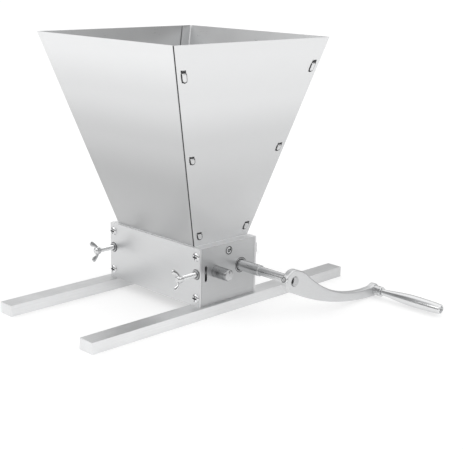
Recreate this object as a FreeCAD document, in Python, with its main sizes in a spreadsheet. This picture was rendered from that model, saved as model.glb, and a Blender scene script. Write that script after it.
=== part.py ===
import FreeCAD, Part
import math
import os
import re
import Sketcher

# Two-roller grain mill with a loose hopper and a hand crank.
# X runs along the rollers towards the crank, Y from the wing screws to the back, Z up.
# The origin is on the floor, midway between the two foot bars, under the centre of the roller box.

vector = FreeCAD.Vector
doc = FreeCAD.newDocument("GrainMill")
sheet = doc.addObject("Spreadsheet::Sheet", "Sizes")

sizes = [
    ("body_length", 160, "roller box over its two end plates"),
    ("end_plate", 12, "end plate thickness"),
    ("side_plate", 3, "side plate thickness"),
    ("bar_length", 397, "foot bar"),
    ("bar_width", 21, "foot bar"),
    ("bar_height", 13, "foot bar"),
    ("bar_overhang", 5.5, "foot bar's outer face past the end plate"),
    ("bar_screw_inset", 20, "foot screw in from the end plate's edge"),
    ("total_height", 310, "hopper rim above the floor"),
    ("hopper_mouth", 235, "square mouth, outside"),
    ("hopper_sheet", 1.2, "hopper sheet, measured level"),
    ("foot_gap", 0.3, "hopper foot to the plates around it"),
    ("skirt_depth", 5.8, "hopper's straight skirt inside the box"),
    ("flange_width", 14, "long panels' return flange"),
    ("hook_width", 6.4, "hook through the end panel"),
    ("hook_inset", 9, "middle of a hook in from the panel's edge"),
    ("hook_proud", 1.1, "hook past the end panel's face"),
    ("hook_gap", 0.4, "slot around a hook"),
    ("top_hook_length", 12, "hook nearest the rim"),
    ("top_hook_drop", 32, "its middle below the rim"),
    ("low_hook_length", 8, "the two lower hooks"),
    ("low_hook_rise", 12.5, "lowest hook's middle above the box"),
    ("roller_diameter", 38, "over the flutes"),
    ("roller_gap", 1.6, "between the rollers, less the drop of the idler"),
    ("roller_side_gap", 3.2, "roller to the side plate"),
    ("roller_rise", 18.8, "rollers' undersides above the bars"),
    ("roller_end_gap", 3, "roller's end to the end plate"),
    ("flute_count", 48, "flutes round a roller"),
    ("flute_depth", 0.9, "depth of a flute"),
    ("core_diameter", 16, "shaft inside a roller"),
    ("journal_diameter", 12, "shaft in the idler and rear bearings"),
    ("washer_diameter", 22, "thrust washer"),
    ("washer_slack", 0.4, "left over beside a thrust washer"),
    ("sleeve_diameter", 13, "drive shaft in and past its front bush"),
    ("sleeve_reach", 32, "thick part past the end plate"),
    ("rod_diameter", 10.5, "drive shaft's thin outer end"),
    ("crank_reach", 84.5, "crank's outer face past the end plate"),
    ("shaft_stub", 1, "shaft end past the crank"),
    ("flat_depth", 2, "flat on the shaft end"),
    ("bush_diameter", 17, "drive bush, outside"),
    ("running_gap", 0.05, "radial gap of a turning fit"),
    ("arm_thickness", 8, "crank arm"),
    ("boss_diameter", 27, "crank's shaft end"),
    ("eye_diameter", 16, "crank's handle end"),
    ("crank_radius", 154, "shaft axis to handle axis"),
    ("crank_floor_gap", 0.3, "hanging crank's clearance to the floor"),
    ("clamp_thread", 5, "crank clamp screw"),
    ("clamp_head", 6.6, "crank clamp screw's head"),
    ("clamp_head_length", 3.5, "crank clamp screw's head"),
    ("collar_diameter", 12, "handle spindle's collar"),
    ("collar_length", 10.5, "handle spindle's collar"),
    ("spindle_diameter", 6, "pin that the grip turns on"),
    ("grip_length", 83.5, "grip"),
    ("grip_neck", 7.6, "grip diameter at the collar"),
    ("grip_belly", 13.8, "largest grip diameter"),
    ("grip_belly_at", 46, "largest diameter from the grip's inner end"),
    ("grip_tip", 11, "grip diameter at its end"),
    ("end_recess", 4, "recess for the end screw"),
    ("end_head", 7.6, "end screw's head"),
    ("end_gap", 0.4, "grip's end play"),
    ("eccentric_diameter", 20, "bush that carries the idler shaft"),
    ("eccentric_throw", 1.6, "idler axis below the adjuster axis"),
    ("eccentric_depth", 9, "its pocket in the end plate"),
    ("knob_diameter", 13.5, "adjuster knob"),
    ("knob_length", 22, "adjuster knob past the end plate"),
    ("clamp_slot_width", 3.5, "slot beside the eccentric bush"),
    ("clamp_slot_length", 18.4, "slot beside the eccentric bush"),
    ("clamp_slot_inset", 6.75, "slot's middle in from the plate's edge"),
    ("plate_thread", 5, "screws that join the plates and bars"),
    ("plate_screw_inset", 9.8, "side screw from the plate's top and bottom"),
    ("plate_screw_head", 10.6, "side screw head"),
    ("plate_screw_dome", 2.8, "side screw head"),
    ("plate_screw_grip", 15, "thread inside the end plate"),
    ("wing_thread", 6, "wing screw"),
    ("wing_reach", 21.6, "side plate to the wing head"),
    ("wing_hub", 9, "wing head's hub diameter"),
    ("wing_hub_length", 7.5, "wing head's hub"),
    ("wing_span", 22, "over the wing tips"),
    ("wing_rake", 5.5, "wing tips past the hub"),
    ("wing_thickness", 2.6, "wing"),
    ("wing_tilt", 12, "wing plane out of the vertical"),
    ("tip_gap", 0.1, "wing screw tip to the web"),
    ("insert_flange", 11, "threaded insert's flange"),
    ("insert_flange_depth", 1.5, "threaded insert's flange"),
    ("insert_diameter", 8, "threaded insert in the side plate"),
    ("guide_sheet", 1.5, "feed guide"),
    ("guide_rim", 8, "feed guide's upright against the side plate"),
    ("guide_overlap", 7, "guide's tip outboard of the roller axis"),
    ("guide_clearance", 0.9, "feed guide above the rollers"),
    ("guide_drop", 2.95, "fall of the guide towards the rollers"),
    ("guide_end_gap", 0.3, "feed guide to the end plates"),
    ("seat_gap", 0.05, "hopper skirt above the feed guides"),
    ("badge_diameter", 10.5, "turning-direction badge"),
    ("badge_depth", 0.5, "turning-direction badge"),
    ("badge_drop", 9, "badge's middle below the box top"),
]
for row, (alias, value, note) in enumerate(sizes, start=1):
    sheet.set("A%d" % row, note)
    sheet.set("B%d" % row, str(value))
    sheet.setAlias("B%d" % row, alias)
doc.recompute()
aliases = {alias for alias, value, note in sizes}

# Sizes that follow from others: the box is built round its rollers.
followed = {
    "axis_spread": "(roller_diameter + roller_gap)",
    "axis_rise": "(roller_rise + roller_diameter / 2)",
    "body_width": "(2 * roller_diameter + roller_gap + 2 * roller_side_gap + 2 * side_plate)",
    "body_height": "(roller_rise + roller_diameter + guide_clearance + guide_sheet + guide_drop"
                   " + seat_gap + skirt_depth)",
}


def link(expression):
    """Writes out the followed sizes in an expression and points each named size at its cell in the sheet."""
    expression = re.sub(r"[a-z_]+", lambda word: followed.get(word.group(), word.group()), expression)
    return re.sub(r"[a-z_]+", lambda word: ("Sizes." if word.group() in aliases else "") + word.group(), expression)


def amount(expression):
    """An expression's present value."""
    result = sheet.evalExpression(link(expression))
    return float(getattr(result, "Value", result))


# Places that several pieces share.
axis_height = "(bar_height + axis_rise)"
drive_axis = "(axis_spread / 2)"
adjuster_axis = "(0 - axis_spread / 2)"
idler_height = "(bar_height + axis_rise - eccentric_throw)"
end_outer = "(body_length / 2)"
end_inner = "(body_length / 2 - end_plate)"
side_outer = "(body_width / 2)"
side_inner = "(body_width / 2 - side_plate)"
box_top = "(bar_height + body_height)"
screw_line = "(body_length / 2 - end_plate / 2)"
screw_high = "(bar_height + body_height - plate_screw_inset)"
screw_low = "(bar_height + plate_screw_inset)"
roller_end = "(body_length / 2 - end_plate - roller_end_gap)"
foot_x = "(body_length / 2 - end_plate - foot_gap)"
foot_y = "(body_width / 2 - side_plate - foot_gap)"
guide_top = "(bar_height + body_height - skirt_depth - seat_gap)"
slot_line = "(body_width / 2 - side_plate - clamp_slot_inset)"
crank_outer = "(body_length / 2 + crank_reach)"
crank_inner = "(body_length / 2 + crank_reach - arm_thickness)"
droop_sine = "((bar_height + axis_rise - eye_diameter / 2 - crank_floor_gap) / crank_radius)"
turns = {"x": vector(1, 0, 0), "y": vector(0, 1, 0), "z": vector(0, 0, 1)}
nodes = []


def node(piece, label):
    """Names a finished piece and keeps it for export."""
    piece.Label = label
    nodes.append(piece)
    return piece


def put(piece, x="0", y="0", z="0"):
    """Binds a piece's place; its turn stays as it is."""
    for letter, expression in zip("xyz", (x, y, z)):
        piece.setExpression("Placement.Base." + letter, link(expression))
    return piece


def tilt(piece, axis, angle):
    """Binds a piece's turn about one of its own axes, in degrees."""
    piece.Placement = FreeCAD.Placement(vector(), FreeCAD.Rotation(turns[axis], amount(angle)))
    piece.setExpression("Placement.Rotation.Angle", link(angle))
    return piece


def block(name, length, width, height, x, y, z):
    """A box by its size along X, Y and Z and its lowest corner."""
    box = doc.addObject("Part::Box", name)
    for side, expression in (("Length", length), ("Width", width), ("Height", height)):
        box.setExpression(side, link(expression))
    return put(box, x, y, z)


def rod(name, radius, length, x, y, z, axis="x"):
    """A cylinder from a point on its axis, towards plus X, Y or Z."""
    cylinder = doc.addObject("Part::Cylinder", name)
    cylinder.setExpression("Radius", link(radius))
    cylinder.setExpression("Height", link(length))
    cylinder.Placement = FreeCAD.Placement(vector(), FreeCAD.Rotation(turns["z"], turns[axis]))
    return put(cylinder, x, y, z)


def join(name, pieces):
    """One fused shape of several primitives, or a group where they are apart."""
    fused = doc.addObject("Part::MultiFuse", name)
    fused.Shapes = pieces
    return fused


def cut(name, base, tools):
    """A base less its tools."""
    less = doc.addObject("Part::Cut", name)
    less.Base = base
    less.Tool = tools[0] if len(tools) == 1 else join(name + "_tools", tools)
    return less


def plane(body, role):
    return [item for item in body.Origin.OriginFeatures if item.Role == role][0]


def sketch_on(body, role, name):
    sketch = body.newObject("Sketcher::SketchObject", name)
    sketch.AttachmentSupport = [(plane(body, role), "")]
    sketch.MapMode = "FlatFace"
    return sketch


def arc_between(start, end, radius, left):
    """The short arc of a radius from start to end, bulging to the left or right of the way there."""
    chord = end - start
    side = vector(-chord.y, chord.x, 0).normalize() * (-1 if left else 1)
    centre = start + chord / 2 + side * math.sqrt(radius * radius - chord.Length ** 2 / 4)
    first, last = (end, start) if left else (start, end)
    angles = [math.atan2(point.y - centre.y, point.x - centre.x) for point in (first, last)]
    return Part.ArcOfCircle(Part.Circle(centre, turns["z"], radius), angles[0], angles[1])


def outline(sketch, points):
    """A closed outline through points bound to the sheet. A point with a radius starts an arc to the next."""
    places = [vector(amount(point[0]), amount(point[1]), 0) for point in points]
    count = len(points)
    ends = []
    for i, point in enumerate(points):
        start, end = places[i], places[(i + 1) % count]
        if len(point) == 2:
            sketch.addGeometry(Part.LineSegment(start, end), False)
            ends.append((1, 2))
            continue
        sketch.addGeometry(arc_between(start, end, amount(point[2]), point[3]), False)
        ends.append((2, 1) if point[3] else (1, 2))
    for i in range(count):
        following = (i + 1) % count
        sketch.addConstraint(Sketcher.Constraint("Coincident", i, ends[i][1], following, ends[following][0]))
    for i, point in enumerate(points):
        for kind, word, expression in (("DistanceX", "across", point[0]), ("DistanceY", "up", point[1])):
            rule = Sketcher.Constraint(kind, -1, 1, i, ends[i][0], amount(expression))
            sketch.renameConstraint(sketch.addConstraint(rule), "%s%d" % (word, i))
            sketch.setExpression("Constraints.%s%d" % (word, i), link(expression))
        if len(point) > 2:
            rule = Sketcher.Constraint("Radius", i, amount(point[2]))
            sketch.renameConstraint(sketch.addConstraint(rule), "bend%d" % i)
            sketch.setExpression("Constraints.bend%d" % i, link(point[2]))


def ring(sketch, across, up, radius):
    """A circle bound to the sheet."""
    circle = Part.Circle(vector(amount(across), amount(up), 0), turns["z"], amount(radius))
    index = sketch.addGeometry(circle)
    for kind, word, expression in (("DistanceX", "across", across), ("DistanceY", "up", up)):
        rule = Sketcher.Constraint(kind, -1, 1, index, 3, amount(expression))
        sketch.renameConstraint(sketch.addConstraint(rule), "ring_%s%d" % (word, index))
        sketch.setExpression("Constraints.ring_%s%d" % (word, index), link(expression))
    rule = Sketcher.Constraint("Radius", index, amount(radius))
    sketch.renameConstraint(sketch.addConstraint(rule), "ring_radius%d" % index)
    sketch.setExpression("Constraints.ring_radius%d" % index, link(radius))


def turned(name, profile, along="x"):
    """A turned piece: its profile is (distance along the axis, radius) pairs."""
    body = doc.addObject("PartDesign::Body", name)
    sketch = sketch_on(body, "XY_Plane", name + "_profile")
    if along == "x":
        outline(sketch, profile)
    else:
        outline(sketch, [(point[1], point[0]) for point in profile])
    turn = body.newObject("PartDesign::Revolution", name + "_turn")
    turn.Profile = (sketch, [""])
    turn.ReferenceAxis = (sketch, ["H_Axis" if along == "x" else "V_Axis"])
    turn.Angle = 360
    return body


def pad(body, sketch, length):
    feature = body.newObject("PartDesign::Pad", sketch.Name + "_pad")
    feature.Profile = (sketch, [""])
    feature.setExpression("Length", link(length))
    return feature


def pocket(body, sketch, reversed_cut=False, length=None):
    """A pocket through everything, or to a depth."""
    feature = body.newObject("PartDesign::Pocket", sketch.Name + "_pocket")
    feature.Profile = (sketch, [""])
    feature.Reversed = reversed_cut
    if length is None:
        feature.Type = 1
    else:
        feature.setExpression("Length", link(length))
    return feature


def low(side, near, far):
    """The lower end of a stretch that lies from near to far out on one side."""
    return near if side > 0 else "(0 - %s)" % far


def at(side, distance):
    return distance if side > 0 else "(0 - %s)" % distance


def slab(name, low_z, high_z, low_box, high_box):
    """A solid with level ends: each end is (low x, high x, low y, high y)."""
    wedge = doc.addObject("Part::Wedge", name)
    wedge.setExpression("Ymin", link(low_z))
    wedge.setExpression("Ymax", link(high_z))
    for word, ends in (("", low_box), ("2", high_box)):
        wedge.setExpression("X%smin" % word, link(ends[0]))
        wedge.setExpression("X%smax" % word, link(ends[1]))
        wedge.setExpression("Z%smin" % word, link("0 - %s" % ends[3]))
        wedge.setExpression("Z%smax" % word, link("0 - %s" % ends[2]))
    wedge.Placement = FreeCAD.Placement(vector(), FreeCAD.Rotation(turns["x"], 90))
    return wedge


# Foot bars, with countersunk screws up into the end plates.
foot_screw_y = "(body_width / 2 - side_plate - bar_screw_inset)"
screw_sink = "(plate_thread / 2)"
foot_screws = []
for side, word in ((-1, "left"), (1, "right")):
    bar = block(
        "bar_" + word, "bar_width", "bar_length", "bar_height",
        low(side, "(body_length / 2 + bar_overhang - bar_width)", "(body_length / 2 + bar_overhang)"),
        "0 - bar_length / 2", "0",
    )
    holes = []
    for end in (-1, 1):
        name = "%s_%d" % (word, end)
        place = (at(side, screw_line), at(end, foot_screw_y))
        for kind, gap in (("hole", "running_gap"), ("screw", "0")):
            head = doc.addObject("Part::Cone", "sink_%s_%s" % (kind, name))
            head.setExpression("Radius1", link("plate_thread + " + gap))
            head.setExpression("Radius2", link("plate_thread / 2 + " + gap))
            head.setExpression("Height", link(screw_sink))
            put(head, place[0], place[1], "0")
            length = "bar_height + plate_screw_grip" if kind == "screw" else "bar_height"
            shank = rod(
                "shank_%s_%s" % (kind, name), "plate_thread / 2 + " + gap, length, *place, "0", axis="z")
            if kind == "hole":
                holes += [head, shank]
            else:
                foot_screws.append(join("foot_screw_" + name, [head, shank]))
    node(cut("foot_bar_" + word, bar, holes), "foot_bar_" + word)
node(join("foot_screw_group", foot_screws), "foot_screws")

# End plates: bush bore, eccentric pocket, clamp slot, and holes for the wing screw and the plate screws.
for side, word in ((-1, "left"), (1, "right")):
    plate = block(
        "plate_" + word, "end_plate", "2 * " + side_inner, "body_height",
        low(side, end_inner, end_outer), "0 - " + side_inner, "bar_height",
    )
    through = low(side, end_inner, end_outer)
    tools = [
        rod("bush_bore_" + word, "bush_diameter / 2", "end_plate", through, drive_axis, axis_height),
        rod("knob_hole_" + word, "knob_diameter / 2 + running_gap", "end_plate", through,
            adjuster_axis, axis_height),
        rod("pocket_" + word, "eccentric_diameter / 2", "eccentric_depth",
            low(side, end_inner, "(body_length / 2 - end_plate + eccentric_depth)"), adjuster_axis, axis_height),
        block("slot_" + word, "end_plate", "clamp_slot_width", "clamp_slot_length - clamp_slot_width", through,
              "0 - %s - clamp_slot_width / 2" % slot_line,
              axis_height + " - (clamp_slot_length - clamp_slot_width) / 2"),
        rod("wing_hole_" + word, "wing_thread / 2 + running_gap", "clamp_slot_inset", at(side, screw_line),
            "0 - " + side_inner, axis_height, axis="y"),
    ]
    for end in (-1, 1):
        tools.append(rod("slot_end_%s_%d" % (word, end), "clamp_slot_width / 2", "end_plate", through,
                         "0 - " + slot_line,
                         "%s + %d * (clamp_slot_length - clamp_slot_width) / 2" % (axis_height, end)))
        tools.append(rod("foot_tap_%s_%d" % (word, end), "plate_thread / 2", "plate_screw_grip",
                         at(side, screw_line), at(end, foot_screw_y), "bar_height", axis="z"))
        for height, level in ((screw_high, "high"), (screw_low, "low")):
            start = "0 - " + side_inner if end < 0 else "%s - plate_screw_grip" % side_inner
            tools.append(rod("side_tap_%s_%s_%d" % (word, level, end), "plate_thread / 2", "plate_screw_grip",
                             at(side, screw_line), start, height, axis="y"))
    node(cut("end_plate_" + word, plate, tools), "end_plate_" + word)

# Side plates and the cross-slotted screws that hold them.
for face, word in ((-1, "front"), (1, "back")):
    plate = block("side_" + word, "body_length", "side_plate", "body_height", "0 - " + end_outer,
                  low(face, side_inner, side_outer), "bar_height")
    holes = []
    screws = []
    for side in (-1, 1):
        if face < 0:
            holes.append(rod("insert_hole_%d" % side, "insert_diameter / 2", "side_plate", at(side, screw_line),
                             "0 - " + side_outer, axis_height, axis="y"))
        for height, level in ((screw_high, "high"), (screw_low, "low")):
            name = "%s_%s_%d" % (word, level, side)
            x = at(side, screw_line)
            holes.append(rod("clear_" + name, "plate_thread / 2 + running_gap", "side_plate", x,
                             low(face, side_inner, side_outer), height, axis="y"))
            shank = rod("thread_" + name, "plate_thread / 2", "side_plate + plate_screw_grip", x,
                        low(face, "(%s - plate_screw_grip)" % side_inner, side_outer), height, axis="y")
            head = doc.addObject("Part::Cone", "head_" + name)
            head.setExpression("Radius1", link("plate_screw_head / 2"))
            head.setExpression("Radius2", link("plate_screw_head * 0.34"))
            head.setExpression("Height", link("plate_screw_dome"))
            head.Placement = FreeCAD.Placement(vector(), FreeCAD.Rotation(turns["z"], turns["y"] * face))
            put(head, x, at(face, side_outer), height)
            slots = []
            for slot, wide, high in (("across", "plate_thread", "plate_thread / 5"),
                                     ("upright", "plate_thread / 5", "plate_thread")):
                slots.append(block("%s_%s" % (slot, name), wide, "plate_screw_dome / 2", high,
                                   "%s - (%s) / 2" % (x, wide),
                                   low(face, "(%s + plate_screw_dome / 2)" % side_outer,
                                       "(%s + plate_screw_dome)" % side_outer),
                                   "%s - (%s) / 2" % (height, high)))
            screws.append(cut("screw_" + name, join("blank_" + name, [shank, head]), slots))
    node(cut("side_plate_" + word, plate, holes), "side_plate_" + word)
    node(join("side_screw_group_" + word, screws), "side_screws_" + word)

# Drive bushes, pressed flush into the end plates.
for side, word, bore in ((-1, "left", "journal_diameter"), (1, "right", "sleeve_diameter")):
    start = low(side, end_inner, end_outer)
    sleeve = rod("bush_" + word, "bush_diameter / 2", "end_plate", start, drive_axis, axis_height)
    hole = rod("bush_hole_" + word, bore + " / 2 + running_gap", "end_plate", start, drive_axis, axis_height)
    node(cut("drive_bush_" + word, sleeve, [hole]), "drive_bush_" + word)

# Flanged inserts that the wing screws thread through.
inserts = []
for side in (-1, 1):
    x = at(side, screw_line)
    start = "0 - %s - insert_flange_depth" % side_outer
    flange = rod("insert_flange_%d" % side, "insert_flange / 2", "insert_flange_depth", x, start, axis_height,
                 axis="y")
    shell = rod("insert_shell_%d" % side, "insert_diameter / 2", "side_plate", x, "0 - " + side_outer,
                axis_height, axis="y")
    bore = rod("insert_bore_%d" % side, "wing_thread / 2 + running_gap", "insert_flange_depth + side_plate", x,
               start, axis_height, axis="y")
    inserts.append(cut("insert_%d" % side, join("insert_blank_%d" % side, [flange, shell]), [bore]))
node(join("insert_group", inserts), "thread_inserts")

# Folded guides that lead grain onto the rollers and carry the hopper's skirt.
tip_y = "(axis_spread / 2 + guide_overlap)"
tip_z = "(bar_height + axis_rise + roller_diameter / 2 + guide_clearance)"
guide_slope = "((%s - %s - guide_sheet) / (%s - %s))" % (guide_top, tip_z, side_inner, tip_y)
for face, word in ((-1, "front"), (1, "back")):
    body = doc.addObject("PartDesign::Body", "guide_" + word)
    sketch = sketch_on(body, "YZ_Plane", "guide_fold_" + word)
    fold = [
        (side_inner, "%s - guide_rim" % guide_top),
        (side_inner, guide_top),
        (tip_y, "%s + guide_sheet" % tip_z),
        (tip_y, tip_z),
        ("(%s - guide_sheet)" % side_inner,
         "%s + %s * (%s - guide_sheet - %s)" % (tip_z, guide_slope, side_inner, tip_y)),
        ("(%s - guide_sheet)" % side_inner, "%s - guide_rim" % guide_top),
    ]
    outline(sketch, [(at(face, "(%s)" % y), z) for y, z in fold])
    pad(body, sketch, "2 * (%s - guide_end_gap)" % end_inner)
    put(body, "0 - %s + guide_end_gap" % end_inner)
    node(body, "feed_guide_" + word)

# Badge that shows which way the crank turns.
badge_place = ("0", box_top + " - badge_drop")
badge = rod("badge", "badge_diameter / 2", "badge_depth", end_outer, *badge_place)
rim_groove = cut("badge_groove",
                 rod("groove_outer", "badge_diameter * 0.42", "badge_depth", end_outer, *badge_place),
                 [rod("groove_inner", "badge_diameter * 0.36", "badge_depth", end_outer, *badge_place)])
put(rim_groove, "badge_depth / 2")
node(cut("turn_badge_disc", badge, [rim_groove]), "turn_badge")

# Hopper: two long panels whose hooks pass through slots in the two end panels.
hopper_rise = "(total_height - bar_height - body_height)"
lean_x = "((hopper_mouth / 2 - %s) / %s)" % (foot_x, hopper_rise)
lean_y = "((hopper_mouth / 2 - %s) / %s)" % (foot_y, hopper_rise)
top_hook = "(%s - top_hook_drop)" % hopper_rise
hooks = [
    (top_hook, "top_hook_length"),
    ("((%s + low_hook_rise) / 2)" % top_hook, "low_hook_length"),
    ("low_hook_rise", "low_hook_length"),
]


def wall_x(rise):
    return "(%s + %s * (%s))" % (foot_x, lean_x, rise)


def wall_y(rise):
    return "(%s + %s * (%s))" % (foot_y, lean_y, rise)


def hook_slab(name, side, face, hook, inward, outward, gap):
    """The space of one hook, or of its slot with a gap around it."""
    middle, length = hook
    ends = []
    levels = []
    for end in (-1, 1):
        rise = "(%s + %d * (%s / 2 + %s))" % (middle, end, length, gap)
        levels.append("%s + %s" % (box_top, rise))
        x = ["(%s - %s)" % (wall_x(rise), inward), "(%s + %s)" % (wall_x(rise), outward)]
        y = ["(%s - hook_inset + %d * (hook_width / 2 + %s))" % (wall_y(rise), half, gap) for half in (-1, 1)]
        xs = x if side > 0 else ["(0 - %s)" % item for item in reversed(x)]
        ys = y if face > 0 else ["(0 - %s)" % item for item in reversed(y)]
        ends.append(xs + ys)
    return slab(name, levels[0], levels[1], ends[0], ends[1])


def strip(name, near_x, far_x, near_y, far_y, sides):
    """A panel's sloped sheet between two distances in from the hopper's outer faces, on the sides given."""
    ends = []
    for x, y in (((foot_x, foot_y)), ("(hopper_mouth / 2)", "(hopper_mouth / 2)")):
        xs = ["(%s - %s)" % (x, near_x), "(%s - %s)" % (x, far_x)]
        ys = ["(%s - %s)" % (y, near_y), "(%s - %s)" % (y, far_y)]
        if sides[0] < 0:
            xs = ["(0 - %s)" % item for item in reversed(xs)]
        if sides[1] < 0:
            ys = ["(0 - %s)" % item for item in reversed(ys)]
        if sides[0] == 0:
            xs = ["(0 - %s)" % xs[1], xs[1]]
        if sides[1] == 0:
            ys = ["(0 - %s)" % ys[1], ys[1]]
        ends.append(xs + ys)
    return slab(name, box_top, "total_height", ends[0], ends[1])


skirt_low = "%s - skirt_depth" % box_top
for side, word in ((-1, "left"), (1, "right")):
    sheet_part = strip("end_sheet_" + word, "hopper_sheet", "0", "0", "0", (side, 0))
    skirt = block("end_skirt_" + word, "hopper_sheet", "2 * " + foot_y, "skirt_depth",
                  low(side, "(%s - hopper_sheet)" % foot_x, foot_x), "0 - " + foot_y, skirt_low)
    slots = []
    for face in (-1, 1):
        for number, hook in enumerate(hooks):
            slots.append(hook_slab("slot_%s_%d_%d" % (word, face, number), side, face, hook,
                                   "1.5 * hopper_sheet", "hopper_sheet", "hook_gap"))
    node(cut("end_panel_" + word, join("end_blank_" + word, [sheet_part, skirt]), slots), "hopper_panel_" + word)

for face, word in ((-1, "front"), (1, "back")):
    pieces = [
        strip("long_sheet_" + word, "0", "hopper_sheet", "hopper_sheet", "0", (0, face)),
        block("long_skirt_" + word, "2 * (%s - hopper_sheet)" % foot_x, "hopper_sheet", "skirt_depth",
              "0 - %s + hopper_sheet" % foot_x, low(face, "(%s - hopper_sheet)" % foot_y, foot_y), skirt_low),
    ]
    for side in (-1, 1):
        pieces.append(strip("flange_%s_%d" % (word, side), "2 * hopper_sheet", "hopper_sheet",
                            "(hopper_sheet / 2 + flange_width)", "hopper_sheet / 2", (side, face)))
        for number, hook in enumerate(hooks):
            pieces.append(hook_slab("hook_%s_%d_%d" % (word, side, number), side, face, hook,
                                    "1.5 * hopper_sheet", "hook_proud", "0"))
    node(join("long_panel_" + word, pieces), "hopper_panel_" + word)


def fluted_roller(name, y, z):
    """A roller with a bore for its shaft and straight flutes round it."""
    body = doc.addObject("PartDesign::Body", name + "_body")
    face = sketch_on(body, "YZ_Plane", name + "_face")
    ring(face, "0", "0", "roller_diameter / 2")
    ring(face, "0", "0", "core_diameter / 2")
    pad(body, face, "2 * " + roller_end)
    flute = sketch_on(body, "YZ_Plane", name + "_flute")
    outline(flute, [
        ("0 - 0.75 * flute_depth", "roller_diameter / 2 + flute_depth / 4"),
        ("0", "roller_diameter / 2 - flute_depth"),
        ("0.75 * flute_depth", "roller_diameter / 2 + flute_depth / 4"),
    ])
    one = pocket(body, flute, reversed_cut=True)
    doc.recompute()
    pattern = body.newObject("PartDesign::PolarPattern", name + "_flutes")
    pattern.Originals = [one]
    pattern.Axis = (plane(body, "X_Axis"), [""])
    pattern.Angle = 360
    pattern.setExpression("Occurrences", link("flute_count"))
    body.Tip = pattern
    put(body, "0 - " + roller_end, y, z)
    return node(body, name)


def thrust_washers(name, y, z, bore):
    """A washer at each end of a roller."""
    rings = []
    thickness = "(roller_end_gap - washer_slack)"
    for side in (-1, 1):
        start = low(side, roller_end, "(%s + %s)" % (roller_end, thickness))
        disc = rod("%s_disc_%d" % (name, side), "washer_diameter / 2", thickness, start, y, z)
        hole = rod("%s_hole_%d" % (name, side), bore[side] + " / 2 + running_gap", thickness, start, y, z)
        rings.append(cut("%s_%d" % (name, side), disc, [hole]))
    return node(join(name + "_pair", rings), name)


# Drive roller on its shaft; the shaft's outer end is thinner and has a flat for the crank's clamp screw.
fluted_roller("drive_roller", drive_axis, axis_height)
flat_start = "(%s - shaft_stub)" % crank_inner
shaft_steps = [
    ("0 - %s + washer_slack" % end_outer, "journal_diameter / 2", "0 - " + roller_end),
    ("0 - " + roller_end, "core_diameter / 2", roller_end),
    (roller_end, "sleeve_diameter / 2", "%s + sleeve_reach" % end_outer),
    ("%s + sleeve_reach" % end_outer, "rod_diameter / 2", "%s + shaft_stub" % crank_outer),
]
profile = [(shaft_steps[0][0], "0")]
for start, radius, end in shaft_steps:
    profile += [(start, radius), (end, radius)]
profile[-1] = ("%s + shaft_stub - flat_depth / 4" % crank_outer, "rod_diameter / 2")
profile += [("%s + shaft_stub" % crank_outer, "rod_diameter / 2 - flat_depth / 4"),
            ("%s + shaft_stub" % crank_outer, "0")]
shaft = turned("drive_shaft_body", [("%s - %s" % (along, flat_start), radius) for along, radius in profile])
flat = sketch_on(shaft, "YZ_Plane", "shaft_flat")
outline(flat, [
    ("0 - rod_diameter", "0 - rod_diameter"),
    ("flat_depth - rod_diameter / 2", "0 - rod_diameter"),
    ("flat_depth - rod_diameter / 2", "rod_diameter"),
    ("0 - rod_diameter", "rod_diameter"),
])
pocket(shaft, flat, reversed_cut=True)
tilt(shaft, "x", "-1 * asin(%s)" % droop_sine)
put(shaft, flat_start, drive_axis, axis_height)
node(shaft, "drive_shaft")
thrust_washers("drive_washers", drive_axis, axis_height, {-1: "journal_diameter", 1: "sleeve_diameter"})

# Idler roller on its own shaft, carried by the eccentric bushes.
fluted_roller("idler_roller", adjuster_axis, idler_height)
idler_end = "(%s + eccentric_depth - eccentric_throw)" % end_inner
idler = turned("idler_shaft_body", [
    ("0 - " + idler_end, "0"), ("0 - " + idler_end, "journal_diameter / 2"),
    ("0 - " + roller_end, "journal_diameter / 2"), ("0 - " + roller_end, "core_diameter / 2"),
    (roller_end, "core_diameter / 2"), (roller_end, "journal_diameter / 2"),
    (idler_end, "journal_diameter / 2"), (idler_end, "0"),
])
node(put(idler, "0", adjuster_axis, idler_height), "idler_shaft")
thrust_washers("idler_washers", adjuster_axis, idler_height, {-1: "journal_diameter", 1: "journal_diameter"})

# Adjusters: an eccentric bush and its knob in one piece, one at each end of the idler shaft.
knob_end = "(end_plate + knob_length)"
for side, word in ((-1, "left"), (1, "right")):
    body = turned("adjuster_body_" + word, [
        ("washer_slack / 2", "0"), ("washer_slack / 2", "eccentric_diameter / 2 - running_gap"),
        ("eccentric_depth - washer_slack / 2", "eccentric_diameter / 2 - running_gap"),
        ("eccentric_depth - washer_slack / 2", "knob_diameter / 2"),
        (knob_end + " - 1.2", "knob_diameter / 2"), (knob_end, "knob_diameter / 2 - 1.2"), (knob_end, "0"),
    ])
    bore = sketch_on(body, "YZ_Plane", "journal_bore_" + word)
    ring(bore, "0", "0 - eccentric_throw", "journal_diameter / 2 + running_gap")
    pocket(body, bore, reversed_cut=True, length="eccentric_depth - eccentric_throw + washer_slack")
    if side < 0:
        body.Placement = FreeCAD.Placement(vector(), FreeCAD.Rotation(turns["z"], 180))
    node(put(body, at(side, end_inner), adjuster_axis, axis_height), "adjuster_" + word)

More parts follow.
